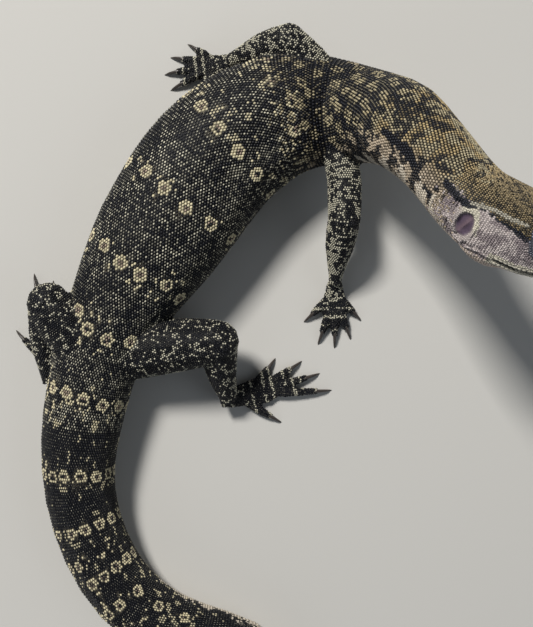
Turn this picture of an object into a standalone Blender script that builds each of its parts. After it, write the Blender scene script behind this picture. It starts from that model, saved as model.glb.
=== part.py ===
"""A young water monitor lizard, life-size, resting on its belly with its head raised.

The body is modelled whole, from the snout to the whip of the tail, and then parted
with thin cuts where a person would name its parts. Sizes are in millimetres until they
reach a mesh, which is in metres. +Z is up, and the lizard rests on the plane Z = 0.
"""

import math

import bmesh
import bpy
import numpy as np
from mathutils import Matrix, Vector

MM = 0.001
CUT = 0.3
FRAME_SHIFT = Vector((2.9, 71.9, 0.0))

# The line through the middle of the body, seen from above, from the level of the ears to
# the tip of the tail. Heights are those of a body lifted off the floor: where the body
# rests, they follow from its depth instead.
EAR_LEVEL = Vector((62.6, 31.6, 70.0))
NECK_TO_TAIL = [
    (56, 45, 61), (49, 57.5, 49), (40.5, 69, 35), (28, 75, 22.5), (8, 74, 18), (-9, 66, 17),
    (-22, 54, 17), (-32, 39, 17), (-42, 24, 17), (-51, 9, 16), (-58, -4, 15), (-63, -18, 14),
    (-67, -34, 14), (-70, -52, 13), (-69, -70, 12), (-62, -90, 12), (-51, -106, 11),
    (-35, -117, 11), (-17, -122, 10), (-3, -127, 10), (4, -140, 9), (3, -160, 8), (-3, -184, 8),
    (-17, -211, 6), (-39, -232, 5), (-65, -244, 3), (-92, -247, 2), (-120, -240, 2),
]
HEAD_LENGTH = 55.0
HEAD_HEADING = math.radians(-28)
HEAD_PITCH = math.radians(6)

# Distance from the snout tip, half width, rise above the line and depth below it, and how
# square the section is (2 is an ellipse).
SECTIONS = [
    (0, 2.1, 1.4, 1.2, 2.0),
    (1.6, 4.6, 3.0, 2.6, 2.2),
    (4.5, 6.0, 4.3, 3.6, 2.4),
    (9.5, 7.1, 5.6, 4.5, 2.5),
    (16, 8.4, 6.9, 5.6, 2.6),
    (23, 10.4, 8.6, 6.9, 2.6),
    (30, 12.8, 10.0, 8.4, 2.6),
    (37, 14.8, 10.8, 9.8, 2.6),
    (45, 15.6, 11.2, 11.0, 2.5),
    (54, 14.8, 11.2, 11.4, 2.3),
    (62, 13.2, 11.4, 11.6, 2.2),
    (72, 12.4, 11.8, 12.0, 2.1),
    (82, 12.7, 12.5, 12.8, 2.1),
    (92, 13.8, 13.6, 13.9, 2.1),
    (108, 15.8, 15.4, 15.5, 2.1),
    (122, 17.9, 16.8, 16.2, 2.1),
    (142, 21.0, 17.8, 16.5, 2.1),
    (164, 23.8, 18.8, 16.8, 2.1),
    (189, 24.8, 19.0, 17.0, 2.1),
    (214, 23.6, 18.4, 16.6, 2.1),
    (234, 20.2, 17.0, 15.6, 2.1),
    (252, 16.8, 15.6, 14.6, 2.1),
    (269, 15.6, 14.8, 14.0, 2.0),
    (289, 14.6, 14.0, 13.2, 2.0),
    (314, 12.9, 13.2, 12.4, 2.0),
    (364, 11.4, 12.8, 12.2, 2.0),
    (399, 9.6, 11.8, 11.4, 2.0),
    (434, 7.6, 10.2, 9.8, 2.0),
    (474, 5.8, 8.2, 8.0, 2.0),
    (514, 4.2, 6.1, 6.0, 2.0),
    (554, 2.8, 4.0, 3.8, 2.0),
    (589, 1.7, 2.3, 2.2, 2.0),
    (625, 0.7, 0.9, 0.8, 2.0),
]
# How far the right side is turned up, in degrees: the head and the rear of the tail are.
ROLL = [(0, 52), (60, 50), (76, 38), (96, 20), (116, 8), (136, 0), (286, 0), (314, 8),
        (339, 20), (369, 38), (404, 50), (454, 54), (524, 50), (625, 42)]
# The double crest along the top of the tail is one low ridge here.
KEEL = [(0, 0), (279, 0), (324, 0.9), (444, 1.2), (549, 0.8), (625, 0.1)]
LIFTED_UNTIL, RESTS_FROM = 96.0, 134.0
SETTLE = 0.09
SIDES = 24
HEAD_STEP, BODY_STEP, TAIL_STEP = 3.3, 7.0, 10.0
SNOUT_STATIONS = (0.0, 1.4, 3.2)
HEAD_REAR, TAIL_FROM = 60.0, 286.0

# Where the whole body is parted, as distances from the snout tip.
BODY_CUTS = {"neck": 65.0, "torso": 109.0, "hips": 238.0, "tail_base": 283.0,
             "tail_middle": 369.0, "tail_rear": 459.0, "tail_whip": 544.0}

# Head features, as distance behind the snout tip, out to the side, and up.
EYE = (34.0, 9.4, 4.4)
EYE_RADIUS = 4.6
# An eye faces this much out, up and ahead. Its lid is a ring round it, longer than high.
EYE_FACING = (0.93, 0.28, 0.1)
LID_RING, LID_THICK, LID_OUT, LID_LONG = 4.0, 1.0, 2.3, 1.12
LID_POINTS = 12
BROW = (33.0, 8.6, 8.6)
BROW_SIZE = (8.5, 2.6, 1.3)
BROW_TILT = math.radians(11)
CHEEK = (46.0, 10.4, -3.6)
CHEEK_SIZE = (10.0, 5.2, 6.5)
NOSTRIL = (9.0, 2.6)
NOSTRIL_SIZE = (1.35, 1.3, 0.8)
NOSTRIL_RIM = (2.1, 0.9, 1.4)
NOSTRIL_OUT, EAR_OUT = 0.5, 0.3
EAR = (56.5, 0.8)
EAR_CUP = (2.7, 1.3, 3.6)
MOUTH_CORNER = 44.0
MOUTH_HEIGHT = [(0, -0.5), (7, -1.2), (18, -2.3), (29, -3.8), (38, -5.0), (44, -5.0)]
MOUTH_PROUD = 0.12
LIP_OFFSET, LIP_SUNK, LIP_RADIUS, MOUTH_RADIUS = 1.2, 0.62, 0.95, 0.42
LIP_STATIONS = (MOUTH_CORNER, 41, 36, 30, 24, 18, 13, 8, 5, 2.8, 1.4)
LIP_FRONT, LIP_NARROWS, LIP_END, LIP_GROWS = 0.35, 0.8, 0.45, 0.25

# Joint points of each leg and the radius of the flesh there. A foot heads the way given.
LEGS = {
    "front_right": {
        "points": [(24, 70, 17), (28, 51, 18), (28, 34, 20),
                   (26.5, 22, 12.5), (25.7, 11.5, 6.2)],
        "heading": -88, "hand": True, "mirrored": False,
    },
    "front_left": {
        "points": [(27, 78, 15.5), (18, 89, 19), (8, 98, 21),
                   (-4, 97, 13), (-14.5, 95, 6.2)],
        "heading": 187, "hand": True, "mirrored": True,
    },
    "rear_right": {
        "points": [(-49, -14, 14), (-33, -11.5, 17.5), (-17.5, -10, 21),
                   (-16.5, -22, 13.5), (-14, -32, 6.8)],
        "heading": 13, "hand": False, "mirrored": False,
    },
    "rear_left": {
        "points": [(-63, -15, 13), (-71, -6, 19), (-78, 3.5, 21),
                   (-81.5, -9.5, 13), (-81.5, -23, 6.8)],
        "heading": 92, "hand": False, "mirrored": True,
    },
}
# Radii of a limb by the share of its length from shoulder or hip to wrist or ankle. The
# elbow or knee is halfway.
LIMB_RADII = {
    True: [(0, 7.0), (0.25, 6.4), (0.5, 6.1), (0.64, 5.9), (0.78, 4.4), (0.9, 2.9), (1, 2.4)],
    False: [(0, 10.6), (0.25, 10.0), (0.45, 8.4), (0.6, 7.0), (0.78, 5.4), (0.9, 4.0), (1, 3.4)],
}
KNEE = 0.5
LIMB_SIDES, LIMB_STEPS = 12, 5

# Palm and sole: length, half width at the root and at the toes, and half thickness.
PALM = {True: (9.5, 3.0, 5.0, 2.0), False: (16.0, 3.8, 5.6, 2.3)}
# Its outlines, from inside the wrist to the toes: the share of its length, the shares of
# the two half widths, the share of its half thickness and that of the wrist's height.
PALM_FORM = [
    (-0.22, 0.7, 0.0, 1.1, 1.09),
    (0.0, 1.0, 0.0, 1.35, 0.82),
    (0.3, 0.65, 0.35, 1.15, 0.52),
    (0.65, 0.2, 0.8, 1.0, 0.33),
    (0.9, 0.0, 1.0, 0.9, 0.28),
    (1.08, 0.0, 0.8, 0.6, 0.24),
]
PALM_SIDES = 12
# Each toe: across the palm from the inner side (-1) to the outer (1), how far along the
# palm it starts, its length, its direction from the foot's, and its claw's length.
TOES = {
    True: [(-0.85, 0.72, 6.4, -42, 4.6), (-0.45, 0.95, 9.0, -18, 5.0),
           (0.0, 1.0, 10.8, 2, 5.2), (0.45, 0.95, 10.6, 20, 5.2), (0.85, 0.68, 7.8, 48, 4.6)],
    False: [(-0.85, 0.74, 6.8, -40, 4.8), (-0.45, 0.95, 11.0, -20, 5.4),
            (0.0, 1.0, 14.6, -3, 5.8), (0.45, 0.98, 18.0, 11, 6.2), (0.9, 0.4, 10.4, 44, 5.0)],
}
TOES_SPREAD = 0.72
TOE_ROOT, TOE_TIP, TOE_ARCH = 1.95, 1.4, 0.75
TOE_FLAT = 0.15
# Where a toe's outlines stand, as shares of its length, and how far its knuckles swell.
TOE_FORM = [(-0.22, 0.0), (0.05, 0.0), (0.35, 0.14), (0.68, 0.14), (1.0, 0.0)]
# A claw rises a little from its toe and hooks down. It is deeper than wide, to a fine tip.
CLAW_RISE, CLAW_HOOK = 18.0, 74.0
CLAW_HALF, CLAW_HIGH, CLAW_TIP, CLAW_THINNING = 0.72, 1.12, 0.13, 0.8
CLAW_SIDES, CLAW_RINGS = 6, 5
CLAW_LOWEST = 0.02
# A limb's lower half starts a little beyond the joint. Blades reach past what they cut.
KNEE_SUNK = 0.01
BLADE_SPARE, ANKLE_BLADE, BLADE_SIDES = 2.2, 8.0, 20
# A foot lies folded under its shank where the cosine of the turn between them is below this.
FOLDED, FOLDED_BLADE = -0.5, 13.0
SCRAP = 4.0
CAP_WELD, SPLIT_WELD = 0.00001, 0.000002

SKIN_DARK = (0.035, 0.034, 0.04)
SKIN_OLIVE = (0.17, 0.145, 0.095)
EYE_BROWN = (0.03, 0.02, 0.012)
CLAW_HORN = (0.05, 0.042, 0.038)


def between(table, at, column=1):
    """A smooth value read between the rows of a table, with no overshoot."""
    xs = [row[0] for row in table]
    ys = [row[column] for row in table]
    i = int(np.clip(np.searchsorted(xs, at) - 1, 0, len(xs) - 2))
    slopes = [(ys[k + 1] - ys[k]) / (xs[k + 1] - xs[k]) for k in range(len(xs) - 1)]

    def tangent(k):
        if k in (0, len(xs) - 1):
            return slopes[min(k, len(slopes) - 1)]
        before, after = slopes[k - 1], slopes[k]
        return 0.0 if before * after <= 0 else 2 * before * after / (before + after)

    span = xs[i + 1] - xs[i]
    t = min(max((at - xs[i]) / span, 0.0), 1.0)
    return (
        ys[i] * (1 + 2 * t) * (1 - t) ** 2
        + span * tangent(i) * t * (1 - t) ** 2
        + ys[i + 1] * t * t * (3 - 2 * t)
        - span * tangent(i + 1) * t * t * (1 - t)
    )


def smooth_step(low, high, at):
    t = min(max((at - low) / (high - low), 0.0), 1.0)
    return t * t * (3 - 2 * t)


def head_direction():
    """The way the snout points."""
    level = Vector((math.cos(HEAD_HEADING), math.sin(HEAD_HEADING), 0.0))
    return level * math.cos(HEAD_PITCH) + Vector((0.0, 0.0, math.sin(HEAD_PITCH)))


def body_line():
    """Points close together along the body's middle and their distances from the snout."""
    forward = head_direction()
    head = [EAR_LEVEL + forward * (HEAD_LENGTH * thirds / 3) for thirds in (4, 3, 2, 1, 0)]
    knots = [*head, *[Vector(p) for p in NECK_TO_TAIL]]
    knots.append(knots[-1] * 2 - knots[-2])
    steps = 12
    points = []
    for i in range(1, len(knots) - 2):
        a, b, c, d = knots[i - 1:i + 3]
        for k in range(steps):
            t = k / steps
            points.append(
                (a * (1 - t) ** 3 + b * (3 * t**3 - 6 * t * t + 4)
                 + c * (-3 * t**3 + 3 * t * t + 3 * t + 1) + d * t**3) / 6
            )
    lengths = [0.0]
    for p, q in zip(points, points[1:]):
        lengths.append(lengths[-1] + (q - p).length)
    return points, lengths


LINE, LINE_AT = body_line()


def place_on_line(at):
    """The point on the body's line at a distance from the snout, and the way to the head."""
    i = int(np.clip(np.searchsorted(LINE_AT, at) - 1, 0, len(LINE) - 2))
    t = (at - LINE_AT[i]) / (LINE_AT[i + 1] - LINE_AT[i])
    point = LINE[i].lerp(LINE[i + 1], t)
    low, high = max(i - 2, 0), min(i + 3, len(LINE) - 1)
    return point, (LINE[low] - LINE[high]).normalized()


def body_axes(at):
    """The line's point, and the ways forward, right and up of the body there."""
    point, forward = place_on_line(at)
    up = (Vector((0, 0, 1)) - forward * forward.z).normalized()
    right = forward.cross(up)
    turn = math.radians(between(ROLL, at))
    return (
        point,
        forward,
        right * math.cos(turn) + up * math.sin(turn),
        up * math.cos(turn) - right * math.sin(turn),
    )


def section(at, grow=0.0):
    """The closed outline of the body at a distance from the snout, as world points."""
    point, _, right, up = body_axes(at)
    half, rise, depth, square = (between(SECTIONS, at, c) for c in (1, 2, 3, 4))
    half, rise, depth = half + grow, rise + grow, depth + grow
    keel = between(KEEL, at)
    ring = []
    for k in range(SIDES):
        angle = 2 * math.pi * k / SIDES
        c, s = math.cos(angle), math.sin(angle)
        across = half * math.copysign(abs(c) ** (2 / square), c)
        height = (rise if s > 0 else depth) * math.copysign(abs(s) ** (2 / square), s)
        if 4 * k == SIDES:
            height += keel
        ring.append(point + right * across + up * height)
    rests = smooth_step(LIFTED_UNTIL, RESTS_FROM, at)
    drop = (min(p.z for p in ring) + grow + SETTLE * depth) * rests
    return [Vector((p.x, p.y, max(p.z - drop, -grow))) for p in ring]


def stations():
    """Where the body's outlines stand: close on the head, wider apart along the tail."""
    ends = list(SNOUT_STATIONS)
    while ends[-1] < LINE_AT[-1] - TAIL_STEP:
        at = ends[-1]
        if at < HEAD_REAR:
            ends.append(at + HEAD_STEP)
        elif at < TAIL_FROM:
            ends.append(at + BODY_STEP)
        else:
            ends.append(at + TAIL_STEP)
    ends[-1] = min(LINE_AT[-1], SECTIONS[-1][0])
    return ends


def collection_of(name):
    found = bpy.data.collections.new(name)
    bpy.context.scene.collection.children.link(found)
    return found


def mesh_object(name, mesh, collection):
    made = bpy.data.objects.new(name, mesh)
    collection.objects.link(made)
    return made


def loft(name, rings, collection):
    """A closed skin over outlines of the same number of points, with flat ends.

    Its diagonals all run one way, so that a form and a larger one around it stay apart.
    """
    shape = bmesh.new()
    rows = [[shape.verts.new((p + FRAME_SHIFT) * MM) for p in ring] for ring in rings]
    for row, following in zip(rows, rows[1:]):
        for k in range(len(row)):
            n = (k + 1) % len(row)
            shape.faces.new((row[k], row[n], following[n]))
            shape.faces.new((row[k], following[n], following[k]))
    shape.faces.new(list(reversed(rows[0])))
    shape.faces.new(rows[-1])
    bmesh.ops.recalc_face_normals(shape, faces=shape.faces)
    mesh = bpy.data.meshes.new(name)
    shape.to_mesh(mesh)
    shape.free()
    return mesh_object(name, mesh, collection)


def tube(name, points, radii, collection, closed=False):
    """A round tube, thicker and thinner along its way, with flat ends or closed on itself."""
    curve = bpy.data.curves.new(name, "CURVE")
    curve.dimensions = "3D"
    curve.bevel_depth = MM
    curve.bevel_resolution = 1
    curve.use_fill_caps = not closed
    spline = curve.splines.new("POLY")
    spline.use_cyclic_u = closed
    spline.points.add(len(points) - 1)
    for spot, p, radius in zip(spline.points, points, radii):
        spot.co = (*((p + FRAME_SHIFT) * MM), 1)
        spot.radius = radius
    guide = mesh_object(name, curve, collection)
    bpy.context.view_layer.update()
    shown = guide.evaluated_get(bpy.context.evaluated_depsgraph_get())
    mesh = bpy.data.meshes.new_from_object(shown)
    bpy.data.objects.remove(guide)
    welded = bmesh.new()
    welded.from_mesh(mesh)
    bmesh.ops.remove_doubles(welded, verts=welded.verts, dist=CAP_WELD)
    bmesh.ops.recalc_face_normals(welded, faces=welded.faces)
    welded.to_mesh(mesh)
    welded.free()
    return mesh_object(name, mesh, collection)


def ball(name, centre, radii, axes, collection, segments=16):
    """An ellipsoid with its radii along three given directions."""
    shape = bmesh.new()
    bmesh.ops.create_uvsphere(shape, u_segments=segments, v_segments=segments // 2 + 1, radius=1)
    turn = Matrix([list(a) for a in axes]).transposed().to_4x4()
    scale = Matrix.Diagonal((*[r * MM for r in radii], 1))
    place = Matrix.Translation((centre + FRAME_SHIFT) * MM)
    bmesh.ops.transform(shape, matrix=place @ turn @ scale, verts=shape.verts)
    bmesh.ops.recalc_face_normals(shape, faces=shape.faces)
    mesh = bpy.data.meshes.new(name)
    shape.to_mesh(mesh)
    shape.free()
    return mesh_object(name, mesh, collection)


def disc(name, centre, normal, radius, collection):
    """A thin round blade that parts two pieces of the body."""
    shape = bmesh.new()
    wide = radius * MM
    bmesh.ops.create_cone(
        shape, cap_ends=True, segments=BLADE_SIDES, radius1=wide, radius2=wide, depth=CUT * MM
    )
    turn = normal.to_track_quat("Z", "Y").to_matrix().to_4x4()
    place = Matrix.Translation((centre + FRAME_SHIFT) * MM)
    bmesh.ops.transform(shape, matrix=place @ turn, verts=shape.verts)
    bmesh.ops.recalc_face_normals(shape, faces=shape.faces)
    mesh = bpy.data.meshes.new(name)
    shape.to_mesh(mesh)
    shape.free()
    return mesh_object(name, mesh, collection)


def combine(body, collection, operation):
    """Joins a collection's pieces to a body, or cuts them from it, and removes them."""
    join = body.modifiers.new(operation.lower(), "BOOLEAN")
    join.operation = operation
    join.operand_type = "COLLECTION"
    join.collection = collection
    join.solver = "EXACT"
    bpy.context.view_layer.update()
    shown = body.evaluated_get(bpy.context.evaluated_depsgraph_get())
    mesh = bpy.data.meshes.new_from_object(shown)
    body.modifiers.clear()
    body.data = mesh
    for piece in list(collection.objects):
        bpy.data.objects.remove(piece)


def along(points, share):
    """The point at a share of the way along a smooth curve through the points."""
    spans = len(points) - 1
    i = min(int(share * spans), spans - 1)
    t = share * spans - i
    a = points[max(i - 1, 0)]
    b, c = points[i], points[i + 1]
    d = points[min(i + 2, spans)]
    return 0.5 * (
        2 * b + (c - a) * t + (2 * a - 5 * b + 4 * c - d) * t * t
        + (3 * b - a - 3 * c + d) * t**3
    )


# The head, with its lips, brows and lids raised and its mouth, nostrils and ears cut in.
def head_spot(behind, out, up, side=1):
    """The world point that far behind the snout tip, out to one side, and up."""
    point, _, right, high = body_axes(behind)
    return point + right * (side * out) + high * up


def head_side(behind, up, side=1, proud=0.0):
    """The point on the head's flank at a height."""
    half, rise, depth, square = (between(SECTIONS, behind, c) for c in (1, 2, 3, 4))
    share = min(abs(up) / (rise if up > 0 else depth), 0.98)
    out = half * (1 - share**square) ** (1 / square)
    return head_spot(behind, out + proud, up, side)


def lip_line(offset, proud, radius, name, collection):
    """A tube round the muzzle from one corner of the mouth to the other, thin at its ends."""
    rising = [(b, between(MOUTH_HEIGHT, b) + offset) for b in LIP_STATIONS]
    right = [head_side(b, up, 1, proud) for b, up in rising]
    left = [head_side(b, up, -1, proud) for b, up in rising]
    front = head_spot(LIP_FRONT - proud, 0.0, MOUTH_HEIGHT[0][1] + offset * LIP_NARROWS)
    points = [*right, front, *reversed(left)]
    from_end = [min(i, len(points) - 1 - i) for i in range(len(points))]
    radii = [radius * min(1.0, LIP_END + LIP_GROWS * steps) for steps in from_end]
    tube(name, points, radii, collection)


def head_forms(flesh, cutters):
    for offset in (LIP_OFFSET, -LIP_OFFSET):
        lip_line(offset, -LIP_SUNK, LIP_RADIUS, "lip", flesh)
    lip_line(0.0, MOUTH_PROUD, MOUTH_RADIUS, "mouth_slit", cutters)
    for side in (1, -1):
        _, forward, right, up = body_axes(EYE[0])
        out = right * side
        along_brow = forward * math.cos(BROW_TILT) - up * math.sin(BROW_TILT)
        above_brow = up * math.cos(BROW_TILT) + forward * math.sin(BROW_TILT)
        ball("brow", head_spot(*BROW, side), BROW_SIZE, (along_brow, out, above_brow), flesh, 12)
        ball("cheek", head_spot(*CHEEK, side), CHEEK_SIZE, (forward, out, up), flesh, 12)
        facing = out * EYE_FACING[0] + up * EYE_FACING[1] + forward * EYE_FACING[2]
        outward = facing.normalized()
        side_up = (up - outward * outward.dot(up)).normalized()
        along_head = outward.cross(side_up)
        centre = head_spot(*EYE, side)
        rim = []
        for k in range(LID_POINTS):
            angle = 2 * math.pi * k / LID_POINTS
            across = along_head * math.cos(angle) * LID_LONG + side_up * math.sin(angle)
            rim.append(centre + outward * LID_OUT + across * LID_RING)
        tube("lid", rim, [LID_THICK] * LID_POINTS, flesh, closed=True)
        socket = (EYE_RADIUS + CUT,) * 3
        ball("socket", centre, socket, (along_head, side_up, outward), cutters, 16)
        nostril_rim = head_side(*NOSTRIL, side, -NOSTRIL_OUT)
        ball("nostril_rim", nostril_rim, NOSTRIL_RIM, (forward, out, up), flesh, 10)
        nostril = head_side(*NOSTRIL, side, NOSTRIL_OUT)
        ball("nostril", nostril, NOSTRIL_SIZE, (forward, out, up), cutters, 10)
        ball("ear", head_side(*EAR, side, EAR_OUT), EAR_CUP, (forward, out, up), cutters, 14)


def eyes(collection):
    for side, word in ((1, "right"), (-1, "left")):
        _, forward, right, up = body_axes(EYE[0])
        centre = head_spot(*EYE, side)
        made = ball("eye_" + word, centre, (EYE_RADIUS,) * 3, (forward, right, up), collection, 14)
        finish(made, "eye", EYE_BROWN, 0.1)


# The legs, each one form from the hip or shoulder to the wrist, then its foot and toes.
def limb_rings(leg, first, last, grow=0.0):
    """Outlines along a limb between two shares of its length, within one of its halves."""
    points = [Vector(p) for p in leg["points"]]
    half = points[:3] if last <= KNEE else points[2:]
    start = 0.0 if last <= KNEE else KNEE
    rings = []
    for k in range(LIMB_STEPS + 1):
        share = first + (last - first) * k / LIMB_STEPS
        way = (share - start) / KNEE
        centre = along(half, way)
        further, nearer = along(half, min(way + 0.05, 1)), along(half, max(way - 0.05, 0))
        ahead = (further - nearer).normalized()
        side = ahead.cross(Vector((0, 0, 1))).normalized()
        up = side.cross(ahead)
        radius = between(LIMB_RADII[leg["hand"]], share) + grow
        ring = []
        for n in range(LIMB_SIDES):
            angle = 2 * math.pi * n / LIMB_SIDES
            p = centre + side * (math.cos(angle) * radius) + up * (math.sin(angle) * radius)
            ring.append(Vector((p.x, p.y, max(p.z, -grow))))
        rings.append(ring)
    return rings


def knee_ball(leg, collection, grow=0.0):
    radius = between(LIMB_RADII[leg["hand"]], KNEE) + grow
    axes = (Vector((1, 0, 0)), Vector((0, 1, 0)), Vector((0, 0, 1)))
    ball("knee", Vector(leg["points"][2]), (radius,) * 3, axes, collection, 12)


def foot_axes(leg):
    heading = math.radians(leg["heading"])
    ahead = Vector((math.cos(heading), math.sin(heading), 0))
    outer = Vector((ahead.y, -ahead.x, 0)) * (-1 if leg["mirrored"] else 1)
    return ahead, outer


def palm_rings(leg):
    """The palm or sole, from inside the wrist down to the roots of the toes."""
    length, root, wide, thick = PALM[leg["hand"]]
    ahead, outer = foot_axes(leg)
    wrist = Vector(leg["points"][-1])
    rings = []
    for share, of_root, of_wide, of_thick, of_height in PALM_FORM:
        half = root * of_root + wide * of_wide
        centre = wrist + ahead * (length * share)
        ring = []
        for n in range(PALM_SIDES):
            angle = 2 * math.pi * n / PALM_SIDES
            p = centre + outer * (half * math.cos(angle))
            height = wrist.z * of_height + thick * of_thick * math.sin(angle)
            ring.append(Vector((p.x, p.y, max(height, 0.0))))
        rings.append(ring)
    return rings


def toe_way(leg, toe):
    """Where a toe starts, the way it points, and its length."""
    across, share, length, spread, _ = toe
    palm_length, _, wide, _ = PALM[leg["hand"]]
    ahead, outer = foot_axes(leg)
    turn = math.radians(spread)
    way = ahead * math.cos(turn) + outer * math.sin(turn)
    wrist = Vector(leg["points"][-1])
    start = wrist + ahead * (palm_length * share) + outer * (across * wide * TOES_SPREAD)
    return Vector((start.x, start.y, 0)), way, length


def toe_points(leg, toe):
    start, way, length = toe_way(leg, toe)
    points, radii = [], []
    for share, knuckle in TOE_FORM:
        radius = TOE_ROOT + (TOE_TIP - TOE_ROOT) * max(share, 0)
        lift = TOE_ARCH * math.sin(math.pi * min(max(share, 0.05), 0.95))
        points.append(start + way * (length * share) + Vector((0, 0, radius - TOE_FLAT + lift)))
        radii.append(radius + knuckle)
    return points, radii


def toes(leg, flesh):
    for toe in TOES[leg["hand"]]:
        points, radii = toe_points(leg, toe)
        made = tube("toe", points, radii, flesh)
        for vertex in made.data.vertices:
            vertex.co.z = max(vertex.co.z, 0.0)


def claw(name, leg, toe, collection):
    """A curved horn, deeper than wide, that starts a cut's width beyond its toe's flat tip."""
    _, way, _ = toe_way(leg, toe)
    side = Vector((way.y, -way.x, 0))
    centre = toe_points(leg, toe)[0][-1] + way * CUT
    step = toe[4] / (CLAW_RINGS - 1)
    rings = []
    for k in range(CLAW_RINGS):
        t = k / (CLAW_RINGS - 1)
        slope = math.radians(CLAW_RISE - CLAW_HOOK * t)
        up = Vector((0, 0, 1))
        if k:
            up = Vector((0, 0, math.cos(slope))) - way * math.sin(slope)
            centre = centre + (way * math.cos(slope) + Vector((0, 0, math.sin(slope)))) * step
        thinning = (1 - t) ** CLAW_THINNING
        half, high = CLAW_HALF * thinning + CLAW_TIP, CLAW_HIGH * thinning + CLAW_TIP
        ring = []
        for n in range(CLAW_SIDES):
            angle = 2 * math.pi * n / CLAW_SIDES
            p = centre + side * (half * math.cos(angle)) + up * (high * math.sin(angle))
            ring.append(Vector((p.x, p.y, max(p.z, CLAW_LOWEST))))
        rings.append(ring)
    made = loft(name, rings, collection)
    finish(made, "claw_horn", CLAW_HORN, 0.35)


def finish(made, name, colour, roughness):
    material = bpy.data.materials.get(name)
    if material is None:
        material = bpy.data.materials.new(name)
        material.use_nodes = True
        shader = material.node_tree.nodes["Principled BSDF"]
        shader.inputs["Base Color"].default_value = (*colour, 1)
        shader.inputs["Roughness"].default_value = roughness
        shader.inputs["Metallic"].default_value = 0.0
    made.data.materials.clear()
    made.data.materials.append(material)


# Thin cuts, and the name of what lies on each side of them.
def body_blades(cutters):
    for at in BODY_CUTS.values():
        ring = section(at)
        centre = sum(ring, Vector()) / len(ring)
        _, forward, _, _ = body_axes(at)
        reach = max((p - centre).length for p in ring)
        disc("body_blade", centre, forward, reach + BLADE_SPARE, cutters)


def ankle_blade(leg, cutters):
    """A blade that halves the turn to the foot, or lies level between a foot and the shank over it."""
    ankle, above = (Vector(leg["points"][i]) for i in (-1, -2))
    ahead, _ = foot_axes(leg)
    shin = (ankle - above).normalized()
    if shin.dot(ahead) < FOLDED:
        disc("ankle_blade", ankle, Vector((0, 0, 1)), FOLDED_BLADE, cutters)
    else:
        disc("ankle_blade", ankle, (shin + ahead).normalized(), ANKLE_BLADE, cutters)


def body_marks():
    """A point well inside each length of the body, by its name."""
    edges = list(BODY_CUTS.items())
    marks = {"head": body_axes(HEAD_LENGTH * 0.5)[0]}
    for (name, start), end in zip(edges, [at for _, at in edges[1:]] + [LINE_AT[-1]]):
        ring = section((start + end) / 2)
        marks[name] = sum(ring, Vector()) / len(ring)
    return marks


def lower_marks(leg, names):
    points = [Vector(p) for p in leg["points"]]
    ahead, _ = foot_axes(leg)
    sole = Vector((points[-1].x, points[-1].y, 2.0)) + ahead * PALM[leg["hand"]][0]
    return {names[0]: points[3], names[1]: sole}


def part_body(body, marks, collection):
    """Splits a cut body into its loose pieces and names each by the nearest mark."""
    whole = bmesh.new()
    whole.from_mesh(body.data)
    bmesh.ops.remove_doubles(whole, verts=whole.verts, dist=SPLIT_WELD)
    whole.verts.index_update()
    seen, pieces = set(), []
    for first in whole.verts:
        if first.index in seen:
            continue
        reached, open_ends = {first}, [first]
        while open_ends:
            for edge in open_ends.pop().link_edges:
                for other in edge.verts:
                    if other not in reached:
                        reached.add(other)
                        open_ends.append(other)
        seen |= {v.index for v in reached}
        pieces.append(reached)
    taken = {}
    for reached in sorted(pieces, key=len, reverse=True):
        low = Vector([min(v.co[i] for v in reached) for i in range(3)])
        high = Vector([max(v.co[i] for v in reached) for i in range(3)])
        if (high - low).length < SCRAP * MM or len(taken) == len(marks):
            continue
        nearest = {
            name: min((v.co - (spot + FRAME_SHIFT) * MM).length for v in reached)
            for name, spot in marks.items() if name not in taken
        }
        name = min(nearest, key=nearest.get)
        taken[name] = reached
    for name, reached in taken.items():
        single = whole.copy()
        keep = {v.index for v in reached}
        single.verts.index_update()
        others = [v for v in single.verts if v.index not in keep]
        bmesh.ops.delete(single, geom=others, context="VERTS")
        mesh = bpy.data.meshes.new(name)
        single.to_mesh(mesh)
        single.free()
        made = mesh_object(name, mesh, collection)
        made.data.shade_smooth()
        if name in ("head", "neck"):
            finish(made, "skin_olive", SKIN_OLIVE, 0.55)
        else:
            finish(made, "skin_dark", SKIN_DARK, 0.55)
    whole.free()
    bpy.data.objects.remove(body)


def trunk(lizard, flesh, cutters):
    """Head, neck, torso, hips and tail, parted where they are cut."""
    body = loft("body", [section(at) for at in stations()], lizard)
    head_forms(flesh, cutters)
    combine(body, flesh, "UNION")
    body_blades(cutters)
    combine(body, cutters, "DIFFERENCE")
    part_body(body, body_marks(), lizard)


def body_clearance(cutters):
    loft("body_clearance", [section(at, CUT) for at in stations() if at > HEAD_REAR], cutters)


def limb(name, leg, lizard, flesh, cutters):
    """An upper arm or thigh against the body, then the rest of the limb against both."""
    words = ("upper_arm_", "forearm_", "hand_") if leg["hand"] else ("thigh_", "shank_", "foot_")
    upper_name, *lower_names = (word + name.split("_")[1] for word in words)

    upper = loft(upper_name + "_form", limb_rings(leg, 0.0, KNEE), lizard)
    knee_ball(leg, flesh)
    combine(upper, flesh, "UNION")
    body_clearance(cutters)
    combine(upper, cutters, "DIFFERENCE")
    part_body(upper, {upper_name: Vector(leg["points"][2])}, lizard)

    lower = loft(name, limb_rings(leg, KNEE + KNEE_SUNK, 1.0), lizard)
    loft(name + "_palm", palm_rings(leg), flesh)
    toes(leg, flesh)
    combine(lower, flesh, "UNION")
    body_clearance(cutters)
    loft("limb_clearance", limb_rings(leg, 0.0, KNEE, CUT), cutters)
    knee_ball(leg, cutters, CUT)
    ankle_blade(leg, cutters)
    combine(lower, cutters, "DIFFERENCE")
    part_body(lower, lower_marks(leg, lower_names), lizard)


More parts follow.
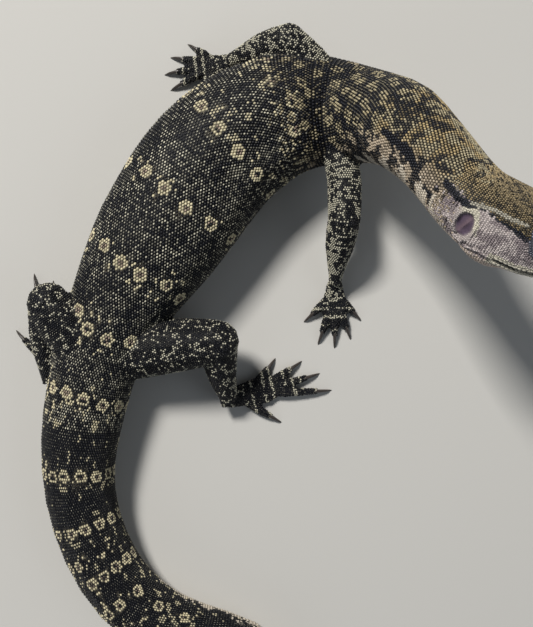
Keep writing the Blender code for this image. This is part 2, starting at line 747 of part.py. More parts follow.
def main():
    for old in list(bpy.data.objects):
        bpy.data.objects.remove(old)
    lizard = collection_of("water_monitor")
    flesh = collection_of("flesh")
    cutters = collection_of("cutters")
    trunk(lizard, flesh, cutters)
    eyes(lizard)
    for name, leg in LEGS.items():
        limb(name, leg, lizard, flesh, cutters)
        kind = "finger" if leg["hand"] else "toe"
        for number, toe in enumerate(TOES[leg["hand"]], 1):
            claw(f"claw_{name}_{kind}_{number}", leg, toe, lizard)


main()
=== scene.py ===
"""A young water monitor lizard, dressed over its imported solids.

One scaled skin covers the flesh from the snout to the whip of the tail. The scales are
solid beads set on it in rows, and eyes and claws are pieces of their own. Lengths along
and round the animal are in millimetres, and every mesh is in metres.
"""

import math

import bmesh
import bpy
import numpy as np
from mathutils import Matrix, Vector
from mathutils.bvhtree import BVHTree
from mathutils.kdtree import KDTree


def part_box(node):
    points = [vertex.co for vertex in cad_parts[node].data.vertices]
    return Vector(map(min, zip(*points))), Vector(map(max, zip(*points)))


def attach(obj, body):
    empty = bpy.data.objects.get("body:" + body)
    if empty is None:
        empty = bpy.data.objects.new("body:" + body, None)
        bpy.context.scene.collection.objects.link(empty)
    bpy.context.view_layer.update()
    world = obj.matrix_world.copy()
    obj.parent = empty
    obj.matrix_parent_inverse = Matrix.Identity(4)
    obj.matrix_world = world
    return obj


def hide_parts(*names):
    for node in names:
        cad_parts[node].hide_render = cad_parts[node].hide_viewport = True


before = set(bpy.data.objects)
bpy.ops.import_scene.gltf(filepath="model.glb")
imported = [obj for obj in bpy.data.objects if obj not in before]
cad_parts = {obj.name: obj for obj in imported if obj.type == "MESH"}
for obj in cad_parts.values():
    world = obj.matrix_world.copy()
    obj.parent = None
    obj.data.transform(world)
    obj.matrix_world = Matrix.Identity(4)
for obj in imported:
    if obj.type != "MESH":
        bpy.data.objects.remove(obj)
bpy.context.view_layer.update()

# The camera looks straight down on the animal from a third of a metre, as in the photo,
# with a pale floor under it and soft light from a large lamp and two weaker ones.
MM = 0.001
FRAME_SHIFT = np.array((2.9, 71.9, 0.0))
CAMERA_HEIGHT = 320.0
PHOTO_WIDTH, PHOTO_HEIGHT = 533, 627
FOCAL_PIXELS = 834.3
SENSOR_MM = 36.0
FLOOR_SIDE = 4.0
LAMPS_AIM = Vector((0.0, 0.05, 0.02))
WARM, COOL = (1.0, 0.975, 0.94), (0.85, 0.92, 1.0)
FLOOR_GREY, SKY_BLUE, SKY_STRENGTH = (0.54, 0.53, 0.50, 1.0), (0.8, 0.88, 1.0, 1.0), 0.11

bpy.ops.object.camera_add(
    location=(FRAME_SHIFT[0] * MM, FRAME_SHIFT[1] * MM, CAMERA_HEIGHT * MM), rotation=(0, 0, 0)
)
camera = bpy.context.object
camera.name = "camera"
camera.data.sensor_width = SENSOR_MM
camera.data.lens = FOCAL_PIXELS * SENSOR_MM / PHOTO_HEIGHT
camera.data.clip_start = 0.01
bpy.context.scene.camera = camera

bpy.ops.mesh.primitive_plane_add(size=FLOOR_SIDE, location=(0, 0, 0))
floor = bpy.context.object
floor.name = "floor"
floor_paint = bpy.data.materials.new("floor_paint")
floor_paint.use_nodes = True
floor_surface = floor_paint.node_tree.nodes["Principled BSDF"].inputs
floor_surface["Base Color"].default_value = FLOOR_GREY
floor_surface["Roughness"].default_value = 0.9
floor.data.materials.append(floor_paint)


def lamp(name, place, side, watts, colour):
    """A square soft lamp that shines at the middle of the animal."""
    bpy.ops.object.light_add(type="AREA", location=place)
    made = bpy.context.object
    made.name = name
    made.data.shape = "SQUARE"
    made.data.size = side
    made.data.energy = watts
    made.data.color = colour
    aim = LAMPS_AIM - Vector(place)
    made.rotation_euler = aim.to_track_quat("-Z", "Y").to_euler()


lamp("key", (-0.65, 1.0, 1.3), 0.34, 35.0, WARM)
lamp("fill", (0.9, -0.3, 0.7), 0.8, 1.7, COOL)
lamp("rear", (-0.7, -0.8, 0.5), 0.8, 1.5, COOL)
bpy.context.scene.view_settings.view_transform = "Standard"
world = bpy.data.worlds.new("studio")
bpy.context.scene.world = world
world.use_nodes = True
sky = world.node_tree.nodes["Background"].inputs
sky["Color"].default_value = SKY_BLUE
sky["Strength"].default_value = SKY_STRENGTH


# The line of the backbone, which the rows of scales follow. Its points are those of the
# solids: the ears' level, then neck, trunk and tail, with the head straight ahead of them.
EAR_LEVEL = np.array((62.6, 31.6, 70.0))
HEAD_LENGTH = 55.0
HEAD_HEADING, HEAD_PITCH = math.radians(-28), math.radians(6)
NECK_TO_TAIL = [
    (56, 45, 61), (49, 57.5, 49), (40.5, 69, 35), (28, 75, 22.5), (8, 74, 18), (-9, 66, 17),
    (-22, 54, 17), (-32, 39, 17), (-42, 24, 17), (-51, 9, 16), (-58, -4, 15), (-63, -18, 14),
    (-67, -34, 14), (-70, -52, 13), (-69, -70, 12), (-62, -90, 12), (-51, -106, 11),
    (-35, -117, 11), (-17, -122, 10), (-3, -127, 10), (4, -140, 9), (3, -160, 8), (-3, -184, 8),
    (-17, -211, 6), (-39, -232, 5), (-65, -244, 3), (-92, -247, 2), (-120, -240, 2),
]
ROLL = [(0, 52), (60, 50), (76, 38), (96, 20), (116, 8), (136, 0), (286, 0), (314, 8),
        (339, 20), (369, 38), (404, 50), (454, 54), (524, 50), (625, 42)]
LINE_STEPS = 12
AXES_REACH = 2.0

ahead = np.array((
    math.cos(HEAD_PITCH) * math.cos(HEAD_HEADING),
    math.cos(HEAD_PITCH) * math.sin(HEAD_HEADING),
    math.sin(HEAD_PITCH),
))
knots = [EAR_LEVEL + ahead * (HEAD_LENGTH * thirds / 3) for thirds in (4, 3, 2, 1, 0)]
knots += [np.array(p, float) for p in NECK_TO_TAIL]
knots.append(knots[-1] * 2 - knots[-2])
line = []
for a, b, c, d in zip(knots, knots[1:], knots[2:], knots[3:]):
    for t in np.arange(LINE_STEPS) / LINE_STEPS:
        line.append((a * (1 - t) ** 3 + b * (3 * t**3 - 6 * t * t + 4)
                     + c * (-3 * t**3 + 3 * t * t + 3 * t + 1) + d * t**3) / 6)
LINE = np.array(line) + FRAME_SHIFT
LINE_AT = np.concatenate([[0.0], np.cumsum(np.linalg.norm(np.diff(LINE, axis=0), axis=1))])
TAIL_END = LINE_AT[-1]


def unit(vectors):
    return vectors / np.maximum(np.linalg.norm(vectors, axis=-1, keepdims=True), 1e-9)


def along_path(at, lengths, path):
    """Places on a path, at distances from its start."""
    return np.stack([np.interp(at, lengths, path[:, i]) for i in range(3)], -1)


def pitch_of(table, at):
    """Values read between the rows of a table."""
    return np.interp(at, [row[0] for row in table], [row[1] for row in table])


def axes_at(at):
    """Forward, right and up of the body at distances from the snout."""
    at = np.atleast_1d(at)
    forward = unit(along_path(at - AXES_REACH, LINE_AT, LINE) - along_path(at + AXES_REACH, LINE_AT, LINE))
    up = unit(np.array((0.0, 0.0, 1.0)) - forward * forward[:, 2:])
    right = np.cross(forward, up)
    turn = np.radians(pitch_of(ROLL, at))[:, None]
    return forward, right * np.cos(turn) + up * np.sin(turn), up * np.cos(turn) - right * np.sin(turn)


SNOUT = LINE[0]
HEAD_FORWARD, HEAD_RIGHT, HEAD_UP = (axis[0] for axis in axes_at(20.0))


def in_head(points):
    """Distances behind the snout, out to the right and up, of points near the head."""
    from_snout = points - SNOUT
    return np.stack([-from_snout @ HEAD_FORWARD, from_snout @ HEAD_RIGHT, from_snout @ HEAD_UP], 1)


def head_place(behind, out, up):
    return SNOUT - HEAD_FORWARD * behind + HEAD_RIGHT * out + HEAD_UP * up


# The legs' lines from shoulder or hip to wrist or ankle, and the way each foot points. The
# rows of scales on a leg run round its line.
LEGS = {
    "arm_right": ([(24, 70, 17), (28, 51, 18), (28, 34, 20), (26.5, 22, 12.5), (25.7, 11.5, 6.2)], -88),
    "arm_left": ([(27, 78, 15.5), (18, 89, 19), (8, 98, 21), (-4, 97, 13), (-14.5, 95, 6.2)], 187),
    "leg_right": ([(-49, -14, 14), (-33, -11.5, 17.5), (-17.5, -10, 21), (-16.5, -22, 13.5),
                   (-14, -32, 6.8)], 13),
    "leg_left": ([(-63, -15, 13), (-71, -6, 19), (-78, 3.5, 21), (-81.5, -9.5, 13),
                  (-81.5, -23, 6.8)], 92),
}
TOE_REACH, TOE_LEVEL = 36.0, 2.0


def leg_line(name):
    """Points a millimetre apart down a leg and on to its toes, with their ways and sides."""
    points, heading = LEGS[name]
    points = [np.array(p, float) + FRAME_SHIFT for p in points]
    way = np.array((math.cos(math.radians(heading)), math.sin(math.radians(heading)), 0.0))
    toes = points[-1] + way * TOE_REACH
    toes[2] = TOE_LEVEL
    points = np.array([*points, toes])
    lengths = np.concatenate([[0], np.cumsum(np.linalg.norm(np.diff(points, axis=0), axis=1))])
    at = np.arange(0.0, lengths[-1], 1.0)
    places = along_path(at, lengths, points)
    ways = unit(np.gradient(places, axis=0))
    ups = []
    up = np.array((0.0, 0.0, 1.0))
    for way in ways:
        up = unit(up - way * (way @ up))
        ups.append(up)
    return places, ways, np.array(ups)


LEG_LINES = {name: leg_line(name) for name in LEGS}


def on_leg(name, points):
    """Distance down a leg and angle round it of points, and the way down it there."""
    places, ways, ups = LEG_LINES[name]
    gaps = ((points[:, None, :] - places[None, :, :]) ** 2).sum(axis=2)
    at = gaps.argmin(axis=1)
    offset = points - places[at]
    sides = np.cross(ways[at], ups[at])
    turn = np.arctan2((offset * sides).sum(axis=1), (offset * ups[at]).sum(axis=1))
    return at.astype(float), turn, ways[at]


# The flesh under the scales: all the lengths of the body and legs as one closed skin. It
# is poured over copies of the solids, so that no cut shows, and lies a scale's depth in.
TRUNK = ["head", "neck", "torso", "hips", "tail_base", "tail_middle", "tail_rear", "tail_whip"]
LEG_NODES = {
    "arm_right": ["upper_arm_right", "forearm_right", "hand_right"],
    "arm_left": ["upper_arm_left", "forearm_left", "hand_left"],
    "leg_right": ["thigh_right", "shank_right", "foot_right"],
    "leg_left": ["thigh_left", "shank_left", "foot_left"],
}
FLESH = TRUNK + [node for nodes in LEG_NODES.values() for node in nodes]
SEAM_CLOSER = 0.22
VOXEL, CORE_VOXEL = 0.56, 0.9
SCALE_DEPTH = 0.26
WELD = 0.004
SKIN_TRIANGLES = 188000
# Rounds of smoothing, each a step in and one out. Head, hands, feet and the end of the tail
# have the fine ones alone, and the rest goes over into them softly.
SMOOTHINGS, FINE_SMOOTHINGS, BROAD_ROUNDS = 24, 5, 8
STEP_IN, STEP_OUT = 0.5, -0.52
WHIP_FROM = 590.0


def gathered(names, name):
    """One object of copies of the named solids, with the place in the list of each face's."""
    shape = bmesh.new()
    owners = []
    for number, node in enumerate(names):
        single = bmesh.new()
        single.from_mesh(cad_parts[node].data)
        bmesh.ops.remove_doubles(single, verts=single.verts, dist=WELD * MM)
        owners += [number] * len(single.faces)
        mesh = bpy.data.meshes.new("single")
        single.to_mesh(mesh)
        single.free()
        shape.from_mesh(mesh)
        bpy.data.meshes.remove(mesh)
    mesh = bpy.data.meshes.new(name)
    shape.to_mesh(mesh)
    shape.free()
    made = bpy.data.objects.new(name, mesh)
    bpy.context.scene.collection.objects.link(made)
    return made, owners


def choose(made):
    """Selects one object alone and makes it the active one."""
    bpy.ops.object.select_all(action="DESELECT")
    made.select_set(True)
    bpy.context.view_layer.objects.active = made


def apply(made, kind, **settings):
    """Adds a modifier and applies it."""
    choose(made)
    modifier = made.modifiers.new(kind.lower(), kind)
    for name, value in settings.items():
        setattr(modifier, name, value)
    bpy.ops.object.modifier_apply(modifier=modifier.name)


def poured(names, name, voxel):
    """The named solids as one closed surface of small even faces."""
    made, _ = gathered(names, name)
    apply(made, "DISPLACE", mid_level=0.0, strength=SEAM_CLOSER * MM)
    apply(made, "REMESH", mode="VOXEL", voxel_size=voxel * MM)
    return made


def values_of(items, name, each, kind=np.float32):
    """What a mesh keeps for its points or edges under a name, one row for each of them."""
    flat = np.empty(len(items) * each, kind)
    items.foreach_get(name, flat)
    return flat.reshape(-1, each)


def points_of(mesh):
    return values_of(mesh.vertices, "co", 3).astype(float) / MM


def normals_of(mesh):
    return values_of(mesh.vertices, "normal", 3).astype(float)


def put_points(mesh, points):
    mesh.vertices.foreach_set("co", (points * MM).astype(np.float32).ravel())
    mesh.update()


def tree_of(made):
    """A search tree over a mesh, in millimetres."""
    return BVHTree.FromPolygons(
        points_of(made.data).tolist(), [tuple(p.vertices) for p in made.data.polygons]
    )


def neighbours_mean(edges, count, values):
    """The mean of a value over the points that edges join to each, whose count is given."""
    total = np.bincount(edges[:, 0], values[edges[:, 1]], len(values))
    total += np.bincount(edges[:, 1], values[edges[:, 0]], len(values))
    return total / count


def relaxed(points, edges, count, weight, rounds):
    """Points smoothed along their edges without shrinking, each by its own weight."""
    for factor in [STEP_IN, STEP_OUT] * rounds:
        around = np.stack([neighbours_mean(edges, count, points[:, i]) for i in range(3)], 1)
        points = points + (around - points) * (factor * weight)[:, None]
    return points


def smooth(low, high, values):
    """0 below low and 1 above high, or the other way round, with a soft step between."""
    t = np.clip((values - low) / (high - low), 0.0, 1.0)
    return t * t * (3 - 2 * t)


def hump(values, middle, wide):
    """1 at the middle, falling softly to 0 on both sides of it."""
    return np.exp(-(((values - middle) / wide) ** 2))


solids, solid_owner = gathered(FLESH, "solids")
solid_owner = np.array(solid_owner)
solid_tree = tree_of(solids)
core = poured(TRUNK, "core", CORE_VOXEL)
core_tree = tree_of(core)
bpy.data.objects.remove(solids)
bpy.data.objects.remove(core)


def seen(u, v):
    """The place on the animal that a pixel of the photograph shows."""
    way = ((u - PHOTO_WIDTH / 2) / FOCAL_PIXELS, (PHOTO_HEIGHT / 2 - v) / FOCAL_PIXELS, -1.0)
    return solid_tree.ray_cast((FRAME_SHIFT[0], FRAME_SHIFT[1], CAMERA_HEIGHT), way)[0]


def owners_of(points):
    """The number in FLESH of the solid nearest to each point."""
    return solid_owner[[solid_tree.find_nearest(p)[2] for p in points.tolist()]]


# The backbone's line runs off the middle where the body rests, so its height there is
# taken from the solids, and then it is centred on them all along.
RING_RAYS = 36
LINE_SAMPLES = np.arange(1.0, TAIL_END - 1.0, 2.0)
RESTS_FROM = 134.0
ABOVE_ALL, BODY_REACH = 100.0, 60.0
AT_ONCE = 20000


def ring(centre, right, up, tree, reach):
    """Angles from the top to the right, and how far the surface is at each."""
    angles = np.arange(RING_RAYS) * 2 * np.pi / RING_RAYS
    radii = []
    for angle in angles:
        hit = tree.ray_cast(centre, right * math.sin(angle) + up * math.cos(angle), reach)
        radii.append(np.nan if hit[0] is None else hit[3])
    radii = np.array(radii)
    usual = np.nanmedian(radii) if np.isfinite(radii).any() else 0.0
    return angles, np.where(np.isnan(radii), usual, radii)


middles = []
for at, _, right, up in zip(LINE_SAMPLES, *axes_at(LINE_SAMPLES)):
    centre = along_path(at, LINE_AT, LINE)
    if at > RESTS_FROM:
        centre[2] = core_tree.ray_cast((centre[0], centre[1], ABOVE_ALL), (0, 0, -1))[0].z / 2
    for _ in range(2):
        angles, radii = ring(centre, right, up, core_tree, BODY_REACH)
        rim = np.outer(radii * np.sin(angles), right) + np.outer(radii * np.cos(angles), up)
        centre = centre + rim.mean(axis=0)
    middles.append(centre)
MIDDLES = np.array(middles)


def middle_at(at):
    """The middle of the body at distances from the snout."""
    return along_path(np.atleast_1d(at), LINE_SAMPLES, MIDDLES)


def on_trunk(points):
    """Distance from the snout and angle from the top towards the right, of points."""
    fine = np.arange(LINE_SAMPLES[0], LINE_SAMPLES[-1], 1.0)
    centres = middle_at(fine)
    at = np.zeros(len(points))
    for low in range(0, len(points), AT_ONCE):
        part = points[low:low + AT_ONCE]
        coarse = ((part[:, None, :] - centres[None, ::4, :]) ** 2).sum(axis=2).argmin(axis=1) * 4
        near = np.clip(coarse[:, None] + np.arange(-4, 5), 0, len(fine) - 1)
        gaps = ((part[:, None, :] - centres[near]) ** 2).sum(axis=2)
        at[low:low + AT_ONCE] = fine[near[np.arange(len(part)), gaps.argmin(axis=1)]]
    forward, right, up = axes_at(at)
    offset = points - middle_at(at)
    turn = np.arctan2((offset * right).sum(axis=1), (offset * up).sum(axis=1))
    return at - (offset * forward).sum(axis=1), turn


skin = poured(FLESH, "skin", VOXEL)
skin_points = points_of(skin.data)
skin_owner = owners_of(skin_points)
skin_at, _ = on_trunk(skin_points)
is_hand = np.isin(skin_owner, [FLESH.index(nodes[2]) for nodes in LEG_NODES.values()])
is_head = skin_owner == FLESH.index("head")
skin_edges = values_of(skin.data.edges, "vertices", 2, np.int32)
neighbours = np.bincount(skin_edges.ravel(), minlength=len(skin_points)).clip(1)
broad = np.where(is_hand | is_head | (skin_at > WHIP_FROM), 0.0, 1.0)
for _ in range(BROAD_ROUNDS):
    broad = neighbours_mean(skin_edges, neighbours, broad)
skin_points = relaxed(skin_points, skin_edges, neighbours, broad, SMOOTHINGS)
skin_points = relaxed(skin_points, skin_edges, neighbours, np.ones(len(broad)), FINE_SMOOTHINGS)
put_points(skin.data, skin_points)

# The head's soft forms, pressed into the skin: the mouth between its lips, nostrils, sunk
# ear drums with a fold behind, and creases at the jaw's corner. Both sides have them.
MOUTH_CORNER = 44.0
MOUTH_HEIGHT = [(0, -0.5), (7, -1.2), (18, -2.3), (29, -3.8), (38, -5.0), (44, -5.0), (60, -5.6)]
NOSTRIL, NOSTRIL_HALF = (9.0, 2.6), (1.15, 0.7)
EAR, EAR_HALF, EAR_OUT = (56.1, -0.1), (2.6, 3.9), 3.0
EYE = (34.0, 9.4, 4.4)
HEAD_FORMS_UNTIL = 78.0
LIP_RISE, LIP_FROM_MOUTH, LIP_HALF = 0.3, 1.05, 0.6
MOUTH_DEPTH, MOUTH_HALF, CORNER_FADE = 0.6, 0.36, 2
EAR_RIM_RISE, DRUM_DEPTH, FOLD_RISE, FOLD_HALF, FOLD_SLANT = 0.4, 0.95, 0.35, 0.5, 0.35
NOSTRIL_RIM_RISE, NOSTRIL_DEPTH = 0.22, 0.9
CREASE_RIM, CREASE_RIM_FROM = 0.4, 2.2
# Each crease's points in the photograph, its depth and its width.
HEAD_CREASES = [
    ([(446, 221), (452, 231), (460, 237)], 0.7, 0.6),
    ([(463, 243), (474, 247), (486, 254)], 0.5, 0.45),
    ([(468, 250), (478, 254), (488, 260)], 0.45, 0.45),
    ([(440, 214), (446, 226), (456, 240)], 0.4, 0.6),
]


def near_path(points, path, widths):
    """How far points are outside a band of changing half width along a path."""
    best = np.full(len(points), 1e9)
    for a, b, wide, next_wide in zip(path, path[1:], widths, widths[1:]):
        t = np.clip((points - a) @ (b - a) / ((b - a) @ (b - a)), 0.0, 1.0)
        gap = np.linalg.norm(points - a - t[:, None] * (b - a), axis=1)
        best = np.minimum(best, gap - wide - (next_wide - wide) * t)
    return best


def either_side(points):
    """Head places of points, with both sides folded onto the right one."""
    behind, out, up = in_head(points).T
    return np.column_stack([behind, np.abs(out), up])


def head_path(pixels):
    """Head places that a path in the photograph runs over."""
    return either_side(np.array([seen(u, v) for u, v in pixels]))


def oval(behind, up, middle, half):
    """How far out points are in an oval, 1 at its edge."""
    return np.hypot((behind - middle[0]) / half[0], (up - middle[1]) / half[1])


def drum_fold(behind, up):
    """How far behind the slanting fold in an ear drum points are."""
    return behind - EAR[0] + FOLD_SLANT * (up - EAR[1])


skin_normals = normals_of(skin.data)
local = np.flatnonzero(skin_at < HEAD_FORMS_UNTIL)
head_points = either_side(skin_points[local])
behind, out, up = head_points.T
mouth_gap = up - pitch_of(MOUTH_HEIGHT, behind)
lips = LIP_RISE * hump(np.abs(mouth_gap), LIP_FROM_MOUTH, LIP_HALF)
push = lips - MOUTH_DEPTH * hump(mouth_gap, 0.0, MOUTH_HALF)
push *= smooth(MOUTH_CORNER + CORNER_FADE, MOUTH_CORNER - CORNER_FADE, behind)
ear, at_ear = oval(behind, up, EAR, EAR_HALF), out > EAR_OUT
push += at_ear * (EAR_RIM_RISE * hump(ear, 1.25, 0.2) - DRUM_DEPTH * smooth(1.1, 0.75, ear))
push += at_ear * FOLD_RISE * hump(drum_fold(behind, up), 0.0, FOLD_HALF) * smooth(0.85, 0.5, ear)
nostril = oval(behind, up, NOSTRIL, NOSTRIL_HALF)
push += NOSTRIL_RIM_RISE * hump(nostril, 1.45, 0.35) - NOSTRIL_DEPTH * smooth(1.05, 0.4, nostril)
for pixels, depth, wide in HEAD_CREASES:
    crease = near_path(head_points, head_path(pixels), [0.0] * len(pixels))
    rim = CREASE_RIM * depth * hump(crease, CREASE_RIM_FROM * wide, wide)
    push += rim - depth * hump(crease, 0.0, wide)
skin_points[local] += skin_normals[local] * push[:, None]
put_points(skin.data, skin_points)
skin_points = skin_points - normals_of(skin.data) * (SEAM_CLOSER + SCALE_DEPTH)
put_points(skin.data, skin_points)
apply(skin, "DECIMATE", ratio=SKIN_TRIANGLES / (2 * len(skin.data.polygons)))
skin.data.polygons.foreach_set("use_smooth", [True] * len(skin.data.polygons))
skin_tree = tree_of(skin)
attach(skin, "root")
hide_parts(*FLESH)


# The markings: black with cream dots, cross rows of golden rings on the back, a mottled
# golden neck, a grey face with a black temple streak and a pale barred belly. The skin
# and its scales share them. The black's blue tint and patchy tone are partly painted
# sheen, and the cream dots are partly painted glints.
# The black's blue tint is partly the skin's own and partly a painted blue sheen.
BLACK = np.array((0.0032, 0.0037, 0.0062))
CREAM = np.array((0.60, 0.57, 0.44))
RING_GOLD = np.array((0.66, 0.59, 0.39))
RING_MIDDLE = np.array((0.26, 0.20, 0.15))
NECK_GOLD = np.array((0.42, 0.32, 0.16))
NECK_YELLOW = np.array((0.43, 0.37, 0.23))
NECK_TAN = np.array((0.42, 0.345, 0.255))
NECK_DARK = np.array((0.022, 0.018, 0.014))
CHEEK = np.array((0.52, 0.46, 0.44))
CHEEK_DARK = np.array((0.25, 0.21, 0.215))
EAR_CREAM = np.array((0.62, 0.58, 0.47))
JAW_PEACH = np.array((0.60, 0.50, 0.42))
EAR_MAUVE = np.array((0.095, 0.066, 0.10))
EAR_PINK = np.array((0.13, 0.09, 0.11))
LID_GREY = np.array((0.20, 0.21, 0.26))
CROWN_DARK = np.array((0.018, 0.016, 0.013))
CROWN_GOLD = np.array((0.24, 0.185, 0.10))
BELLY_CREAM = np.array((0.54, 0.48, 0.39))
# Where the photograph shows rings in a row, in its pixels, from one side to the other.
RINGS_SEEN = [
    [(272, 80), (292, 100), (296, 130)],
    [(201, 106), (218, 128), (239, 152), (257, 175)],
    [(145, 171), (164, 188), (186, 208), (211, 224)],
    [(104, 245), (120, 263), (140, 275), (167, 286), (180, 299)],
    [(78, 310), (87, 329), (107, 340), (131, 342)],
    [(66, 393), (83, 400), (103, 406)],
    [(52, 477), (63, 477), (81, 477), (97, 477)],
    [(58, 536), (71, 535), (85, 530), (100, 524)],
    [(78, 568), (92, 585), (104, 577), (117, 567)],
    [(78, 590), (120, 606), (138, 591), (159, 606), (185, 618)],
]
# Rows of rings that it doesn't show: their places, and the turns round the tail of the
# rings in every other one.
ROWS_UNSEEN, UNSEEN_TURNS = np.arange(432.0, 600.0, 12.0), ((-1.1, 0.0, 1.1), (-1.5, -0.5, 0.5, 1.5))
RING_RADIUS, RING_WIDTH, RING_HALO = 1.9, 1.45, 0.9
NECK_RING_RADIUS, NECK_RING_WIDTH = 1.35, 1.3
NECK_RING_ROWS, NECK_RING_TURNS = np.arange(92.0, 156.0, 5.3), np.arange(-1.5, 1.5, 0.45)
LAST_RING_TURN, LEAST_RING_TURN = 1.9, 0.45
# Dark streaks and patches that it shows on neck and head, and the pale ones beside them.
TEMPLE_STREAK = ([(445, 180), (452, 190), (459, 199), (468, 206), (478, 208), (488, 212), (496, 219),
                  (506, 225), (516, 231), (527, 241)], [0.8, 1.2, 1.3, 0.8, 0.3, 0.25, 0.3, 0.4, 0.6, 0.8])
PALE_STREAK = ([(472, 203), (484, 206), (497, 211), (512, 219), (529, 226)], [0.3, 0.5, 0.45, 0.5, 0.4])
NECK_PATCHES = [([(404, 147), (409, 156), (413, 164)], [1.6, 2.0, 1.5]),
                ([(420, 187), (426, 193), (433, 199)], [0.7, 1.1, 0.6]),
                ([(383, 131), (394, 141), (403, 150)], [1.0, 1.4, 1.2])]
ARMPIT_FOLD = ([(368, 151), (376, 143), (384, 141)], [0.8, 1.1, 0.8])
LIP_BARS = (6.0, 13.0, 20.0)
CROWN_EDGE = [(0, 1.8), (8, 3.2), (20, 4.7), (34, 5.6), (60, 6.6)]
# How far behind the snout marks end or start.
HEAD_UNTIL, JAW_UNTIL, STREAKS_UNTIL, EARS_UNTIL = 60.0, 62.0, 74.0, 80.0
NECK_UNTIL, BODY_FROM = 160.0, 98.0
# The grey round an eye ends this far from its middle and this far up.
EYE_ROUND, EYE_TOP = 6.0, 7.6
BELLY_BAR_PITCH, TOE_BAND_PITCH = 11.5, 2.7
# The arms' pale blocks: their length, their width on an arm of this radius, and the angle
# round it of the middle of the side that has them.
BLOCK_LONG, BLOCK_WIDE, ARM_RADIUS, BLOCKS_FACE = 2.9, 2.6, 4.2, 1.3


# Big odd numbers that stir whole numbers into random ones.
STIR_PLACE, STIR_SEED, STIR_ALL = (73856093, 19349663, 83492791), 265443, 1274126177
SEED_SHIFT = 17.3
# The random values that each scale draws, by number.
BRIGHTNESS, DOTTED, DOT_SIZE, RAGGED, SHADE, RING_DOT, PICKED = 1, 2, 3, 4, 5, 6, 9
DRAW_FIRST, DRAW_STEP = 3.17, 2.41


def mottle(points, patch, seed):
    """Smooth random values from 0 to 1, in patches of about that size."""
    at = points / patch + seed * SEED_SHIFT
    cell = np.floor(at).astype(np.int64)
    share = smooth(0.0, 1.0, at - cell)
    total = np.zeros(len(points))
    for corner in np.ndindex(2, 2, 2):
        x, y, z = ((cell + corner) * STIR_PLACE).T
        mixed = x ^ y ^ z ^ (seed * STIR_SEED)
        mixed = ((mixed ^ (mixed >> 13)) * STIR_ALL) & 0xFFFFFFFF
        value = ((mixed ^ (mixed >> 15)) & 0xFFFF) / 0xFFFF
        total += value * np.prod(np.where(corner, share, 1 - share), axis=1)
    return total


def on_back(at, turn):
    """The place on the trunk at a distance from the snout and an angle round it."""
    _, right, up = (axis[0] for axis in axes_at(at))
    way = right * math.sin(turn) + up * math.cos(turn)
    return np.array(core_tree.ray_cast(middle_at(at)[0], way, BODY_REACH)[0])


rings = []
for row in RINGS_SEEN:
    places = np.array([place for place in (seen(u, v) for u, v in row) if place is not None])
    at, turn = on_trunk(places)
    rings += list(places)
    order = np.argsort(turn)
    gap = max((turn.max() - turn.min()) / (len(row) - 1), LEAST_RING_TURN)
    for end, way in ((order[0], -1), (order[-1], 1)):
        further = turn[end] + way * gap
        while abs(further) < LAST_RING_TURN:
            rings.append(on_back(at[end], further))
            further += way * gap
for number, at in enumerate(ROWS_UNSEEN):
    for turn in UNSEEN_TURNS[number % 2]:
        rings.append(on_back(at, turn))
RINGS = np.array(rings)
ring_at, _ = on_trunk(RINGS)
RING_SIZE = np.interp(ring_at, [250, 330, 420, 560, 610], [1.0, 0.84, 0.74, 0.42, 0.25]) * RING_RADIUS
NECK_RINGS = [on_back(at + 1.2 * math.sin(9.0 * turn + at), turn)
              for row, at in enumerate(NECK_RING_ROWS)
              for turn in NECK_RING_TURNS + 0.22 * (row % 2)]


def places_tree(places):
    """A tree that finds the place nearest to a point."""
    tree = KDTree(len(places))
    for number, place in enumerate(places):
        tree.insert(place, number)
    tree.balance()
    return tree


RING_TREE, NECK_RING_TREE = places_tree(RINGS), places_tree(NECK_RINGS)
NECK_PATHS = [(np.array([seen(u, v) for u, v in pixels]), widths) for pixels, widths in NECK_PATCHES]
ARMPIT = (np.array([seen(u, v) for u, v in ARMPIT_FOLD[0]]), ARMPIT_FOLD[1])
TEMPLE = (head_path(TEMPLE_STREAK[0]), TEMPLE_STREAK[1])
PALE = (head_path(PALE_STREAK[0]), PALE_STREAK[1])
CREASE_PATHS = [(head_path(pixels), wide) for pixels, _, wide in HEAD_CREASES]


def blend(first, second, share):
    """Colours on the way from a first to a second one."""
    return first + (second - first) * share[:, None]


def shaded(colour, low, high, share):
    """A colour made darker or lighter from point to point."""
    return colour * (low + (high - low) * share)[:, None]


